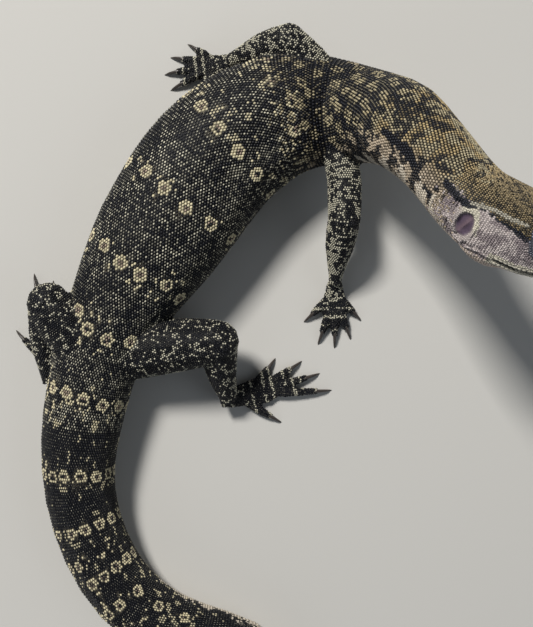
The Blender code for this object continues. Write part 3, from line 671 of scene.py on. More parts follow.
class Marks:
    """Colours of scales and of their crowns, and how much of each its crown covers.

    Each scale has a place on the body, the solid that it belongs to and a random number.
    """

    def __init__(self, points, at, turn, owner, chance):
        self.points, self.at, self.turn, self.owner, self.chance = points, at, turn, owner, chance
        self.base = np.tile(BLACK, (len(points), 1))
        self.crown = np.tile(CREAM, (len(points), 1))
        self.dot = np.zeros(len(points))
        self.fine, self.middling = mottle(points, 1.4, 1), mottle(points, 3.4, 2)
        cross = np.column_stack([at / 2.4, turn * 12 / 2.8, 0 * at])
        self.finer_cross = np.column_stack([at / 1.2, turn * 12 / 1.4, 0 * at])
        self.bars_across = 0.5 * mottle(cross, 1.0, 4) + 0.5 * mottle(self.finer_cross, 1.0, 5)
        # How bright each scale's cream dot is: partly the dot's own tone and partly a painted glint of
        # light.
        wide = mottle(points, 8.0, 3)
        self.bright = np.clip(0.16 + 1.15 * self.draw(BRIGHTNESS) ** 1.7 * (0.45 + 1.1 * wide), 0.0, 1.25)

    def draw(self, number):
        """A random value for each scale, made from its own one."""
        return np.modf(self.chance * (DRAW_FIRST + DRAW_STEP * number))[0]

    def varied(self, colour, low, high):
        """A colour made darker or lighter from scale to scale."""
        return shaded(colour, low, high, self.draw(SHADE))

    def put(self, where, base=None, crown=None, dot=None):
        """Changes the scales where the share is more than their own chance, or all that are True."""
        chosen = where if where.dtype == bool else where > self.draw(PICKED)
        for name, value in (("base", base), ("crown", crown), ("dot", dot)):
            if value is not None:
                mine = getattr(self, name)
                mine[chosen] = np.broadcast_to(value, mine.shape)[chosen]


def mark_trunk(marks):
    """Black trunk and tail with small cream dashes, partly painted glints, rows of golden rings, flecks and
    bands.
    """
    at, turn, draw = marks.at, marks.turn, marks.draw
    # The black's brightness varies from scale to scale: partly its own tone, partly painted sheen.
    marks.base = shaded(BLACK, 0.7, 1.5, marks.fine)
    # The dots on the scales' tops are partly cream spots and partly painted glints.
    marks.crown = CREAM * marks.bright[:, None]
    dash = 0.17 + 0.13 * draw(DOT_SIZE) + 0.1 * (marks.middling - 0.5)
    marks.dot = np.where(draw(DOTTED) < 0.5 + 0.5 * marks.middling, dash, 0.0)

    # A ring is golden with a few brown scales in its middle and a black halo round it, and
    # small golden flecks lie in the same rows. Towards the end of the tail rings are filled.
    found = [RING_TREE.find(place) for place in marks.points.tolist()]
    gap = np.array([f[2] for f in found])
    radius = RING_SIZE[[f[1] for f in found]]
    width = RING_WIDTH * np.clip(radius / RING_RADIUS, 0.6, 1.0)
    body = at > BODY_FROM
    halo = body & (gap < radius + width / 2 + RING_HALO)
    marks.put(halo, dot=np.where(draw(RAGGED) < 0.25, 0.12, 0.0))
    row_gap = np.abs(at[:, None] - np.unique(np.round(ring_at))[None, :]).min(axis=1)
    fleck = body & ~halo & (mottle(marks.points, 1.5, 6) > 0.78) & (row_gap < 5.0)
    golden = fleck | (body & (np.abs(gap - radius) + 0.35 * (marks.chance - 0.5) < width / 2))
    gold = marks.varied(RING_GOLD, 0.72, 1.12)
    marks.put(golden, RING_MIDDLE * 0.2, gold, 0.68 + 0.14 * draw(RING_DOT))
    inside = body & (gap < radius - width / 2) & (draw(RAGGED) < 0.75)
    marks.put(inside, BLACK * 2.0, marks.varied(RING_MIDDLE, 0.6, 1.7), 0.42)
    marks.put(inside & (at > 380) & (mottle(marks.points, 9.0, 12) < 0.62), RING_MIDDLE * 0.2, gold, 0.72)

    # Between them are short dashes on hips and tail, clusters behind the shoulders and pale
    # scales on the rear of the tail.
    around = pitch_of([(60, 12.0), (250, 16.0), (330, 10.0), (480, 6.0), (625, 2.0)], at)
    dashes = mottle(np.column_stack([at / 2.8, turn * around / 1.3, 0 * at]), 1.0, 13)
    marks.put(smooth(255, 290, at) * smooth(0.78, 0.82, dashes) * ~halo, BLACK * 2.0,
              marks.varied(RING_GOLD, 0.6, 1.0), 0.6)
    clusters = (at > 128) & (at < 172) & (marks.bars_across > 0.64) & ~halo
    marks.put(clusters, BLACK * 2.0, marks.varied(RING_GOLD, 0.65, 1.0), 0.5)
    pale = smooth(400, 480, at) * smooth(0.6, 0.7, mottle(marks.finer_cross, 1.0, 10))
    marks.put(pale * ~halo, BLACK * 2.0, marks.varied(CREAM, 0.7, 1.0), 0.62)


def mark_neck(marks):
    """A golden brown neck with soft dark blotches, black with small rings at the shoulder."""
    at, points, draw, middling = marks.at, marks.points, marks.draw, marks.middling
    neck = smooth(158, 138, at) * (at < NECK_UNTIL)
    level = pitch_of([(40, 0.34), (62, 0.42), (80, 0.48), (100, 0.52)], at)
    ring_gap = np.array([NECK_RING_TREE.find(place)[2] for place in points.tolist()])
    ringed = np.abs(ring_gap - NECK_RING_RADIUS) < NECK_RING_WIDTH * (0.3 + 0.45 * marks.fine)
    to_shoulder = smooth(88, 104, at + 9.0 * (middling - 0.5))
    gold = np.where(to_shoulder > 0.5, ringed, marks.bars_across > level)
    side = smooth(1.0, 1.6, np.abs(marks.turn))[:, None]
    crown = NECK_GOLD + (NECK_YELLOW - NECK_GOLD) * np.maximum(middling > 0.5, to_shoulder)[:, None]
    crown = (crown * (1 - side) + NECK_TAN * side) * (0.5 + 0.65 * draw(SHADE))[:, None]
    soft = (1 - to_shoulder) * smooth(112, 84, at)
    # The neck's black varies likewise: partly its own tone, partly painted sheen.
    marks.put(neck, shaded(BLACK, 0.9, 2.4, marks.fine), crown * (0.4 - 0.05 * soft)[:, None],
              np.where(draw(DOTTED) < 0.6 + 0.3 * soft, 0.16 + 0.2 * draw(DOT_SIZE), 0.0))
    covered = 0.44 + 0.16 * draw(DOT_SIZE) + 0.2 * side[:, 0]
    marks.put((neck > draw(PICKED)) & gold, NECK_DARK * (0.7 + side), crown, covered)

    # Black patches on the neck, and the pale fold at the armpit.
    for path, widths in NECK_PATHS:
        near = near_path(points, path, widths)
        marks.put(near < 0.35 * (draw(RAGGED) - 0.5), BLACK * 1.4, BLACK * 6, 0.2)
    near = near_path(points, *ARMPIT)
    marks.put(near < 0.3 * (draw(RAGGED) - 0.5), NECK_TAN * 0.6, marks.varied(NECK_TAN, 0.9, 1.25), 0.95)


def mark_belly(marks):
    """A cream belly and throat, with black bars that reach down the sides."""
    at, middling, from_top = marks.at, marks.middling, np.abs(marks.turn)
    under = smooth(1.8, 2.15, from_top + 0.6 * (middling - 0.5) - 0.45 * smooth(280, 360, at))
    bars = smooth(0.1, 0.4, np.sin(at * 2 * np.pi / BELLY_BAR_PITCH) + 1.1 * (middling - 0.5))
    bars = bars * smooth(2.75, 2.2, from_top) * (at > JAW_UNTIL)
    marks.put(under * (1 - bars), BELLY_CREAM * 0.75, marks.varied(BELLY_CREAM, 0.8, 1.1), 0.9)


def mark_head(marks):
    """A dark golden crown, grey speckled cheeks, cream jaws, barred lips and dark streaks."""
    at, draw, middling = marks.at, marks.draw, marks.middling
    place = either_side(marks.points)
    behind, out, up = place.T
    head = smooth(64, 52, at + 3.0 * (middling - 0.5)) * (at < EARS_UNTIL)
    crown_part = up > pitch_of(CROWN_EDGE, behind) + 1.2 * (middling - 0.5)
    speckled = mottle(marks.points, 1.1, 11)
    crown_gold = CROWN_GOLD * (1 + 0.6 * smooth(46, 60, at))[:, None]
    crown_dot = np.where(speckled > 0.45 - 0.15 * smooth(40, 58, at), 0.46, 0.2)
    crown_gold = crown_gold * (0.5 + 0.75 * draw(SHADE))[:, None]
    marks.put((head > draw(PICKED)) & crown_part, CROWN_DARK, crown_gold, crown_dot)
    greyness = smooth(0.35, 0.6, 0.6 * speckled + 0.4 * middling)
    cheek = blend(CHEEK_DARK, CHEEK, greyness)
    cheek_crown = cheek * (0.85 + 0.3 * draw(SHADE))[:, None]
    marks.put((head > draw(PICKED)) & ~crown_part, cheek * 0.65, cheek_crown, 0.75)

    # Round the ear the scales are pale, cream ahead of it and grey behind.
    ear = oval(behind, up, EAR, EAR_HALF)
    by_ear = smooth(1.9, 1.2, ear) * (out > EAR_OUT) * (up < 6.0) * (up > -4.5)
    ahead_above = smooth(0.0, 3.5, up - EAR[1] - 0.6 * (behind - EAR[0]))
    rim = blend(CHEEK * 0.8, EAR_CREAM, ahead_above)
    marks.put(by_ear, rim * 0.75, rim * (0.85 + 0.25 * draw(SHADE))[:, None], 0.95)
    # Along the jaw's creases the scales are darker: painted shade in the creases.
    for path, wide in CREASE_PATHS:
        near = near_path(place, path, [wide * 0.6] * len(path)) < 0.25 * (draw(RAGGED) - 0.3)
        marks.put(near & (at < STREAKS_UNTIL), CHEEK_DARK * 0.3, CHEEK_DARK * 0.8, 0.5)

    # The lower jaw is a pale peach, and the cream lips have black bars near the snout.
    mouth_up = up - pitch_of(MOUTH_HEIGHT, behind)
    jaw = smooth(-0.4, -2.2, mouth_up + 1.0 * (middling - 0.5)) * (at < JAW_UNTIL)
    marks.put(jaw, JAW_PEACH * 0.7, marks.varied(JAW_PEACH, 0.85, 1.1), 0.9)
    lips = (at < HEAD_UNTIL) & (behind < 46) & (np.abs(mouth_up) < 1.9)
    marks.put(lips, EAR_CREAM * 0.5, marks.varied(EAR_CREAM, 0.7, 0.95), 0.8)
    bar_gap = np.abs(behind[:, None] - 0.35 * up[:, None] - np.array(LIP_BARS)[None, :]).min(axis=1)
    on_bar = (behind < 24) & (bar_gap < 0.9 + 2.2 * (speckled - 0.5))
    barred = (at < HEAD_UNTIL) & on_bar & (mouth_up > -2.0) & ~crown_part
    marks.put(barred, BLACK * 1.5, BLACK * 5, 0.3)

    # A black streak behind the eye over a pale one, and slate grey scales round the eye.
    near = near_path(place, *PALE) < 0.2
    marks.put(near & (at < JAW_UNTIL), EAR_CREAM * 0.3, marks.varied(EAR_CREAM, 0.5, 0.8), 0.75)
    near = near_path(place, *TEMPLE) < 0.25 * (draw(RAGGED) - 0.3)
    marks.put(near & (at < STREAKS_UNTIL), BLACK * 1.2, BLACK * 6, 0.25)
    by_eye = (np.linalg.norm(place - EYE, axis=1) < EYE_ROUND) & (at < HEAD_UNTIL) & (up < EYE_TOP)
    marks.put(by_eye, LID_GREY * 0.2, marks.varied(LID_GREY, 0.5, 1.4), 0.45)


def mark_legs(marks):
    """Black legs with clusters of cream scales, blocks of them on the arms, and banded toes."""
    points, draw = marks.points, marks.draw
    # The legs' black varies likewise: partly its own tone, partly painted sheen.
    on_legs, dots = marks.owner >= len(TRUNK), np.where(draw(DOTTED) < 0.6, 0.2 + 0.1 * draw(DOT_SIZE), 0.0)
    # On the legs too, the cream dots are partly painted glints.
    marks.put(on_legs, shaded(BLACK, 0.7, 1.6, marks.fine), CREAM * 0.75 * marks.bright[:, None], dots)
    clustered = 0.25 * mottle(points, 2.4, 9) + 0.75 * mottle(points, 0.95, 14)
    for name, nodes in LEG_NODES.items():
        chosen = np.flatnonzero(np.isin(marks.owner, [FLESH.index(node) for node in nodes]))
        if len(chosen) == 0:
            continue
        arm = name.startswith("arm")
        down, round_it, _ = on_leg(name, points[chosen])
        toes_from = len(LEG_LINES[name][0]) - TOE_REACH

        # Toes have pale bands. Arms have pale blocks in rows, set like bricks.
        bands = np.sin(down * 2 * np.pi / TOE_BAND_PITCH + 1.5 * marks.middling[chosen])
        row = np.floor(down / BLOCK_LONG)
        block = np.column_stack([down / BLOCK_LONG, round_it * ARM_RADIUS / BLOCK_WIDE + 0.5 * (row % 2)])
        in_block = np.abs(block - np.round(block)).max(axis=1) < 0.34
        in_block = in_block & (np.cos(round_it - BLOCKS_FACE) > 0.5) & arm & (down < toes_from)
        share = clustered[chosen]
        pale = (share > (0.52 if arm else 0.62) - 0.05 * bands) | (in_block & (share > 0.4))
        banded = np.zeros(len(points), bool)
        banded[chosen] = np.where(down > toes_from + 6, bands > 0.72, pale)
        marks.put(banded, BLACK * 2.0, marks.varied(CREAM, 0.75, 1.1), 0.62)


def markings(points, at, turn, owner, chance):
    """The marks of points on the body, each part's own over those of the one before it."""
    marks = Marks(points, at, turn, owner, chance)
    for mark_part in (mark_trunk, mark_neck, mark_belly, mark_head, mark_legs):
        mark_part(marks)
    return marks


# The skin between the scales is dark leather with a fine grain, in the tints of the scales
# on it. The ear drums, the nostrils and the line of the mouth are bare and painted on it;
# the nostrils and the mouth's line are painted near black, as painted shade in their hollows.
SKIN_DARKER, GREY_FADES = 0.7, (6.4, 5.4)


class Value:
    """A number or colour in a material, on which Python's operators add Math nodes."""

    def __init__(self, finish, socket):
        self.finish, self.socket = finish, socket

    def maths(self, operation, first, second):
        return self.finish.add("ShaderNodeMath", {"operation": operation}, [first, second])

    def __add__(self, other):
        return self.maths("ADD", self, other)

    def __radd__(self, other):
        return self.maths("ADD", other, self)

    def __mul__(self, other):
        return self.maths("MULTIPLY", self, other)

    def __rmul__(self, other):
        return self.maths("MULTIPLY", other, self)

    def __gt__(self, other):
        return self.maths("GREATER_THAN", self, other)


class Finish:
    """One material, its nodes and its surface."""

    def __init__(self, name, **surface):
        self.material = bpy.data.materials.new(name)
        self.material.use_nodes = True
        self.nodes = self.material.node_tree.nodes
        self.surface = self.nodes["Principled BSDF"]
        for socket, value in surface.items():
            self.surface.inputs[socket.replace("_", " ")].default_value = value

    def add(self, kind, settings=None, inputs=(), output=0):
        """Adds a node, sets it and its sockets, by order or by name, and gives its output."""
        node = self.nodes.new(kind)
        for name, value in (settings or {}).items():
            setattr(node, name, value)
        pairs = inputs.items() if isinstance(inputs, dict) else enumerate(inputs)
        for socket, value in pairs:
            self.join(node.inputs[socket], value)
        return Value(self, node.outputs[output])

    def join(self, socket, value):
        if isinstance(value, Value):
            self.material.node_tree.links.new(value.socket, socket)
        else:
            socket.default_value = value

    def feed(self, socket, value):
        """Links a value to one of the surface's sockets."""
        self.join(self.surface.inputs[socket], value)

    def attribute(self, name, output="Color"):
        return self.add("ShaderNodeAttribute", {"attribute_name": name}, output=output)

    def noise(self, scale, detail=2.0):
        where = self.add("ShaderNodeTexCoord", output="Object")
        return self.add("ShaderNodeTexNoise", {}, {"Vector": where, "Scale": scale, "Detail": detail})

    def mixed(self, share, first, second):
        return self.add("ShaderNodeMix", {"data_type": "RGBA"}, {0: share, 6: first, 7: second}, output=2)

    def bump(self, height, strength, distance):
        sockets = {"Height": height, "Strength": strength, "Distance": distance}
        return self.add("ShaderNodeBump", {}, sockets)


def paint(mesh, name, colours):
    """A colour for each point of a mesh."""
    layer = mesh.attributes.new(name, "FLOAT_COLOR", "POINT")
    opaque = np.column_stack([colours, np.ones(len(colours))])
    layer.data.foreach_set("color", opaque.astype(np.float32).ravel())


skin_points = points_of(skin.data)
skin_at, skin_turn = on_trunk(skin_points)
skin_owner = owners_of(skin_points)
marks = markings(skin_points, skin_at, skin_turn, skin_owner, np.full(len(skin_points), 0.5))
tint = blend(marks.base, marks.crown, np.clip(marks.dot - 0.55, 0.0, 0.4)) * SKIN_DARKER
place = either_side(skin_points)
behind, out, up = place.T
drum = smooth(1.1, 0.85, oval(behind, up, EAR, EAR_HALF)) * (out > EAR_OUT) * (skin_at < EARS_UNTIL)
tint = blend(tint, blend(EAR_MAUVE, EAR_PINK, hump(drum_fold(behind, up), 0.0, 0.7)), drum)
by_eye = smooth(*GREY_FADES, np.linalg.norm(place - EYE, axis=1)) * (skin_at < HEAD_UNTIL) * (up < EYE_TOP)
tint = blend(tint, LID_GREY * 0.3, by_eye)
# The mouth's line and the nostrils are painted near black: painted shade in these hollows.
mouth_gap = np.abs(up - pitch_of(MOUTH_HEIGHT, behind))
gape = (mouth_gap < 0.4) & (behind < MOUTH_CORNER) & (skin_at < HEAD_UNTIL)
dark = gape | (oval(behind, up, NOSTRIL, NOSTRIL_HALF) < 0.85)
tint = blend(tint, BLACK, np.where(dark, 0.9, 0.0))
paint(skin.data, "tint", tint)

hide = Finish("scaled_hide", Roughness=0.6, Specular_IOR_Level=0.25)
hide.feed("Base Color", hide.attribute("tint"))
hide.feed("Roughness", 0.5 + 0.2 * hide.noise(900.0))
hide.feed("Normal", hide.bump(hide.noise(2600.0, 3.0), 0.5, 0.0002))
skin.data.materials.clear()
skin.data.materials.append(hide.material)


# The eyes: dark brown glossy balls with a thin golden ring round the pupil, seated in the
# sockets of the solids. Grainy lids close over them to an opening that narrows to corners.
EYE_RADIUS = 4.6
EYE_FACING = (0.93, 0.28, 0.1)
PUPIL_EDGE, RING_EDGE, IRIS_EDGE = 0.955, 0.93, 0.62
IRIS_DARK, IRIS_LIGHT, IRIS_RING = (0.025, 0.012, 0.006, 1), (0.10, 0.05, 0.02, 1), (0.40, 0.26, 0.07, 1)
BALL_BROWN, PUPIL_BLACK = (0.015, 0.012, 0.012, 1), (0.002, 0.002, 0.002, 1)
LID_DARK, LID_LIGHT = (0.035, 0.035, 0.042, 1), (0.12, 0.125, 0.15, 1)
OPENING_LONG, OPENING_HIGH = math.radians(38), math.radians(29)
# The lid from its inner edge outwards: degrees past the opening's edge and distance from
# the eye's middle.
LID_PROFILE = [(1.0, 4.62), (-1.2, 4.78), (-0.6, 5.0), (2.0, 5.14), (6.0, 5.16), (12.0, 5.12), (20.0, 5.14),
               (30.0, 5.1), (42.0, 5.0), (56.0, 4.8), (70.0, 4.4)]
LID_SEGMENTS, LID_STEP = 72, math.pi / (2 * len(LID_PROFILE) + 2)
# The granules on the lids: their size, their rows in degrees past the opening's edge, which
# is about LID_EDGE degrees from the eye's axis, and how far from its middle they stand. Past
# the first rows they are only where the lid stands out of the skin.
LID_SCALE, LID_ROWS, LID_FIRST_ROW, LID_ROW_STEP, LID_EDGE = 0.46, 6, 2.4, 5.2, 33
LID_SCALE_RADIUS, LID_ROW_RADIUS, ROWS_AT_EDGE = 5.1, 5.14, 3
lid_scales = []


def ball(name, segments, rows, radius):
    """A round ball in the middle of everything."""
    bpy.ops.object.select_all(action="DESELECT")
    bpy.ops.mesh.primitive_uv_sphere_add(segments=segments, ring_count=rows, radius=radius)
    made = bpy.context.object
    made.name = name
    return made


def opening_at(angle):
    """How far from the eye's axis the lids' edge is, at an angle from its front corner."""
    across = np.hypot(OPENING_HIGH * np.cos(angle), OPENING_LONG * np.sin(angle))
    return OPENING_LONG * OPENING_HIGH / across * (1 + 0.2 * hump(np.sin(angle), 0.0, 0.16))


def steps_from_pole(vertex):
    return math.acos(max(min(vertex.co.z, 1), -1)) / LID_STEP


def bend_lid(mesh):
    """Turns a unit ball into a lid's shell: its rows become the rows of the profile."""
    shape = bmesh.new()
    shape.from_mesh(mesh)
    spare = [v for v in shape.verts if not 0.5 < steps_from_pole(v) < len(LID_PROFILE) + 0.5]
    bmesh.ops.delete(shape, geom=spare, context="VERTS")
    for vertex in shape.verts:
        past, radius = LID_PROFILE[int(round(steps_from_pole(vertex))) - 1]
        angle = math.atan2(vertex.co.y, vertex.co.x)
        polar = opening_at(angle) + math.radians(past)
        way = (math.sin(polar) * math.cos(angle), math.sin(polar) * math.sin(angle), math.cos(polar))
        vertex.co = [radius * part for part in way]
    bmesh.ops.scale(shape, vec=(MM, MM, MM), verts=shape.verts)
    shape.to_mesh(mesh)
    shape.free()


lid_finish = Finish("eyelid", Roughness=0.5, Specular_IOR_Level=0.3)
lid_grain = lid_finish.noise(1800.0, 3.0)
lid_finish.feed("Base Color", lid_finish.mixed(lid_grain, LID_DARK, LID_LIGHT))
lid_finish.feed("Normal", lid_finish.bump(lid_grain, 0.5, 0.0002))
for side, mirror in (("right", 1), ("left", -1)):
    low, high = (np.array(corner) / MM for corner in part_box(f"eye_{side}"))
    centre = (low + high) / 2
    sideways = HEAD_RIGHT * EYE_FACING[0] * mirror
    facing = unit(sideways + HEAD_UP * EYE_FACING[1] + HEAD_FORWARD * EYE_FACING[2])
    to_front = unit(HEAD_FORWARD - facing * (HEAD_FORWARD @ facing))
    upward = np.cross(facing, to_front) * mirror
    axes = Matrix(np.column_stack([to_front, upward, facing]).tolist()).to_4x4()
    turned = Matrix.Translation(Vector(centre * MM)) @ axes
    eye = ball(f"eyeball_{side}", 64, 48, EYE_RADIUS * MM)
    eye.data.transform(turned)
    if mirror < 0:
        eye.data.flip_normals()
    eye.data.polygons.foreach_set("use_smooth", [True] * len(eye.data.polygons))
    finish = Finish(f"eye_{side}", Roughness=0.06, Coat_Weight=1.0, Coat_Roughness=0.02)
    where = finish.add("ShaderNodeTexCoord", output="Object")
    ray = finish.add("ShaderNodeVectorMath", {"operation": "SUBTRACT"}, [where, tuple(centre * MM)])
    ray = finish.add("ShaderNodeVectorMath", {"operation": "NORMALIZE"}, [ray])
    to_pupil = finish.add("ShaderNodeVectorMath", {"operation": "DOT_PRODUCT"}, [ray, tuple(facing)],
                          output="Value")
    fibres = finish.noise(2400.0, 4.0)
    iris = finish.mixed(fibres, IRIS_DARK, IRIS_LIGHT)
    colour = finish.mixed(to_pupil > IRIS_EDGE, BALL_BROWN, iris)
    colour = finish.mixed(to_pupil > RING_EDGE, colour, IRIS_RING)
    colour = finish.mixed(to_pupil > PUPIL_EDGE, colour, PUPIL_BLACK)
    finish.feed("Base Color", colour)
    eye.data.materials.append(finish.material)
    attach(eye, "root")
    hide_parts(f"eye_{side}")

    lid = ball(f"eyelid_{side}", LID_SEGMENTS, 2 * len(LID_PROFILE) + 2, 1)
    bend_lid(lid.data)
    lid.data.transform(turned)
    if mirror < 0:
        lid.data.flip_normals()
    lid.data.polygons.foreach_set("use_smooth", [True] * len(lid.data.polygons))
    lid.data.materials.append(lid_finish.material)
    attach(lid, "root")
    for row in range(LID_ROWS):
        past = math.radians(LID_FIRST_ROW + row * LID_ROW_STEP)
        around = 2 * math.pi * LID_ROW_RADIUS * math.sin(math.radians(LID_EDGE) + past)
        count = int(around / LID_SCALE)
        for angle in (np.arange(count) + 0.5 * (row % 2)) * 2 * math.pi / count:
            polar = opening_at(angle) + past
            outwards = to_front * math.cos(angle) + upward * math.sin(angle)
            way = outwards * math.sin(polar) + facing * math.cos(polar)
            place = centre + way * LID_SCALE_RADIUS
            nearest, outward, _, _ = skin_tree.find_nearest(place)
            if row < ROWS_AT_EDGE or (Vector(place) - nearest).dot(outward) > 0:
                lid_scales.append((place, way))


# The scales are horn grown with the skin: round beads in cross rows on the body, small ones
# in looser rows on the head, and long keeled ones round the tail and on the legs. Each is
# rooted in the skin, lies close to it and points to the rear.
BEAD_SIDES = 6
BEAD_RISE, BEAD_SUNK = 0.34, 0.25
# Half the length and width of a bead's upper and lower edge, and their heights.
BEAD_TOP, BEAD_FOOT = (0.38, 0.27, BEAD_RISE * 0.72), (0.54, 0.5, -0.06)
KEEL_TOP, KEELED_HALF, KEELED_FOOT = (0.16, 0.0, BEAD_RISE), 0.54, -0.04


def bead(name):
    """A low round bead a unit across, its root sunk below it."""
    made = ball(name, BEAD_SIDES, 3, 0.5)
    for vertex in made.data.vertices:
        x, y, z = vertex.co
        wide = math.hypot(x, y)
        if wide < 0.1:
            vertex.co.z = BEAD_RISE if z > 0 else -BEAD_SUNK
        else:
            half_long, half_wide, height = BEAD_TOP if z > 0 else BEAD_FOOT
            vertex.co = (x / wide * half_long, y / wide * half_wide, height)
    return made


def keeled(name):
    """A long six-sided scale with its keel rising to the rear, its root sunk below it."""
    bpy.ops.object.select_all(action="DESELECT")
    bpy.ops.mesh.primitive_cone_add(
        vertices=BEAD_SIDES, radius1=KEELED_HALF, radius2=0, depth=1, end_fill_type="TRIFAN"
    )
    made = bpy.context.object
    made.name = name
    for vertex in made.data.vertices:
        x, y, z = vertex.co
        if math.hypot(x, y) < 0.1:
            vertex.co = KEEL_TOP if z > 0 else (0.0, 0.0, -BEAD_SUNK)
        else:
            vertex.co.z = KEELED_FOOT
    return made


def shape_of(made):
    """The corners and triangles of a scale that was modelled once, which is then removed."""
    choose(made)
    bpy.ops.object.mode_set(mode="EDIT")
    bpy.ops.mesh.select_all(action="SELECT")
    bpy.ops.mesh.quads_convert_to_tris()
    bpy.ops.mesh.normals_make_consistent(inside=False)
    bpy.ops.object.mode_set(mode="OBJECT")
    corners = np.array([v.co[:] for v in made.data.vertices])
    triangles = np.array([p.vertices[:] for p in made.data.polygons])
    bpy.data.objects.remove(made)
    return corners, triangles


SHAPES = {"bead": shape_of(bead("bead")), "keeled": shape_of(keeled("keeled"))}

CELL = 1.3


class Plot:
    """The places already taken on the skin, so that no two scales crowd each other.

    They are kept by cells of space, each wider than the gap that two scales keep.
    """

    def __init__(self):
        self.cells = {}

    def free(self, place, room):
        i, j, k = (int(c // CELL) for c in place)
        for key in [(i + a, j + b, k + c) for a in (0, -1, 1) for b in (0, -1, 1) for c in (0, -1, 1)]:
            for x, y, z, other in self.cells.get(key, ()):
                gap = (x - place[0]) ** 2 + (y - place[1]) ** 2 + (z - place[2]) ** 2
                if gap < (0.5 * (room + other)) ** 2:
                    return False
        return True

    def take(self, place, room):
        key = tuple(int(c // CELL) for c in place)
        self.cells.setdefault(key, []).append((*place, room))


# The gap from row to row and round a row at distances from the snout, and the gaps on legs,
# toes and lips and between the filling scales of the head.
PITCH_ALONG = [(58, 0.95), (70, 1.05), (130, 1.1), (160, 1.14), (240, 1.1), (300, 1.05), (400, 1.1),
               (520, 1.15), (625, 0.95)]
PITCH_AROUND = [(58, 0.95), (70, 1.05), (130, 1.1), (160, 1.14), (240, 1.05), (300, 0.88), (400, 0.8),
                (520, 0.72), (625, 0.5)]
LEG_PITCH, TOE_PITCH, LIP_PLATE = 0.88, 0.68, 1.4
LIP_WIDTH, LIP_REACH = 0.95, 20.0
HEAD_ALONG, HEAD_PITCHES = 0.7, (0.6, 0.84)
# The share of its gap that a scale keeps clear of others, in rows and where it fills, and
# how far apart the granules on the lids are.
ROW_CROWD, HEAD_ROW_CROWD, FILL_CROWD, LID_CROWD = 0.7, 0.62, 0.84, 0.3
HEAD_ROWS_UNTIL, HEAD_SPREAD = 60.0, 1.13
HEAD_STRAY, BODY_STRAY, LEG_STRAY = 0.12, 0.03, 0.05
ROW_REACH, LEG_ROW_REACH = 40.0, 14.0
# The share of the gap along that nested rows lie apart, on trunk and legs and, behind this
# place, on the tail.
NESTED, TAIL_NESTED, TAIL_ROWS_FROM = 0.87, 0.95, 290
FIRST_ROW, LEAST_IN_ROW = 2.5, 5
# A place in a row counts only where it isn't much farther out than the ring it is cast in.
FARTHER, FARTHER_MORE = 1.3, 0.5
# Scales keep clear of the ear drum's oval, the mouth's line and an eye's middle by this much.
EAR_CLEAR, MOUTH_CLEAR, EYE_CLEAR = 1.05, 0.42, 5.2
# The head is all within a distance of a place behind the snout.
HEAD_MIDDLE, HEAD_ROUND = 30.0, 50
plot = Plot()
scales = []


def cast_row(centre, right, up, pitch, shift, reach, loose):
    """Places on the skin in a ring round a centre, with its normals and the gaps between them.

    pitch gives the gap at an angle from the top, and loose is how far places may stray.
    """
    angles, radii = ring(centre, right, up, skin_tree, reach)
    angles = np.append(angles, 2 * np.pi)
    radii = np.append(radii, radii[0])
    rim = np.column_stack([radii * np.sin(angles), radii * np.cos(angles)])
    spans = np.linalg.norm(np.diff(rim, axis=0), axis=1)
    steps = np.concatenate([[0], np.cumsum(spans / pitch((angles[1:] + angles[:-1]) / 2))])
    number = max(int(round(steps[-1])), LEAST_IN_ROW)
    strays = rng.uniform(-loose, loose, (number, 2))
    forward = np.cross(up, right)
    for step, (stray, stray_ahead) in zip(range(number), strays):
        angle = np.interp((step + shift + stray) * steps[-1] / number, steps, angles)
        radius = np.interp(angle, angles, radii)
        way = right * math.sin(angle) + up * math.cos(angle)
        place, normal, _, far = skin_tree.ray_cast(centre + forward * stray_ahead, way, reach)
        if place is not None and far < radius * FARTHER + FARTHER_MORE:
            yield place, normal, float(pitch(angle))


def head_pitch(angle):
    """The gap between scales round the head: widest on the crown, finest on the cheeks."""
    from_top = np.abs((angle + np.pi) % (2 * np.pi) - np.pi)
    return np.interp(from_top, [0.5, 1.0, 2.0, 2.6], [0.84, 0.62, 0.57, 0.72])


rng = np.random.default_rng(20)
found = []

# A row of larger plates edges each lip.
for side in (HEAD_RIGHT, -HEAD_RIGHT):
    for behind in np.arange(LIP_PLATE * 2, MOUTH_CORNER, LIP_PLATE):
        for off in (LIP_WIDTH, -LIP_WIDTH):
            start = head_place(behind, 0.0, pitch_of(MOUTH_HEIGHT, behind) + off)
            place, normal, _, _ = skin_tree.ray_cast(start, side, LIP_REACH)
            if place is not None:
                found.append((place, normal, LIP_PLATE, LIP_WIDTH, "trunk"))

# Cross rows follow the backbone from snout to whip, and others the lines of the legs.
at, row = FIRST_ROW, 0
while at < LINE_SAMPLES[-1]:
    _, right, up = (axis[0] for axis in axes_at(at))
    along, around = pitch_of(PITCH_ALONG, at), pitch_of(PITCH_AROUND, at)
    pitch, stray, spread = (lambda angle: around), BODY_STRAY, 1.0
    if at < HEAD_ROWS_UNTIL:
        along, pitch, stray, spread = HEAD_ALONG, head_pitch, HEAD_STRAY, HEAD_SPREAD
    centre = middle_at(at)[0]
    for place, normal, gap in cast_row(centre, right, up, pitch, 0.5 * (row % 2), ROW_REACH, stray):
        long = max(along, gap) if at < HEAD_ROWS_UNTIL else along
        found.append((place, normal, spread * long, spread * gap, "trunk"))
    at += along * (NESTED if at < TAIL_ROWS_FROM else TAIL_NESTED)
    row += 1
for name, (places, ways, ups) in LEG_LINES.items():
    until = len(places) - TOE_REACH - 2
    for row, at in enumerate(np.arange(2.0, until, LEG_PITCH * NESTED)):
        centre = along_path(at, np.arange(len(places)), places)
        way, up = ways[int(at)], ups[int(at)]
        side = np.cross(way, up)
        for place, normal, gap in cast_row(centre, side, up, lambda angle: LEG_PITCH,
                                           0.5 * (row % 2), LEG_ROW_REACH, LEG_STRAY):
            found.append((place, normal, LEG_PITCH, gap, name))


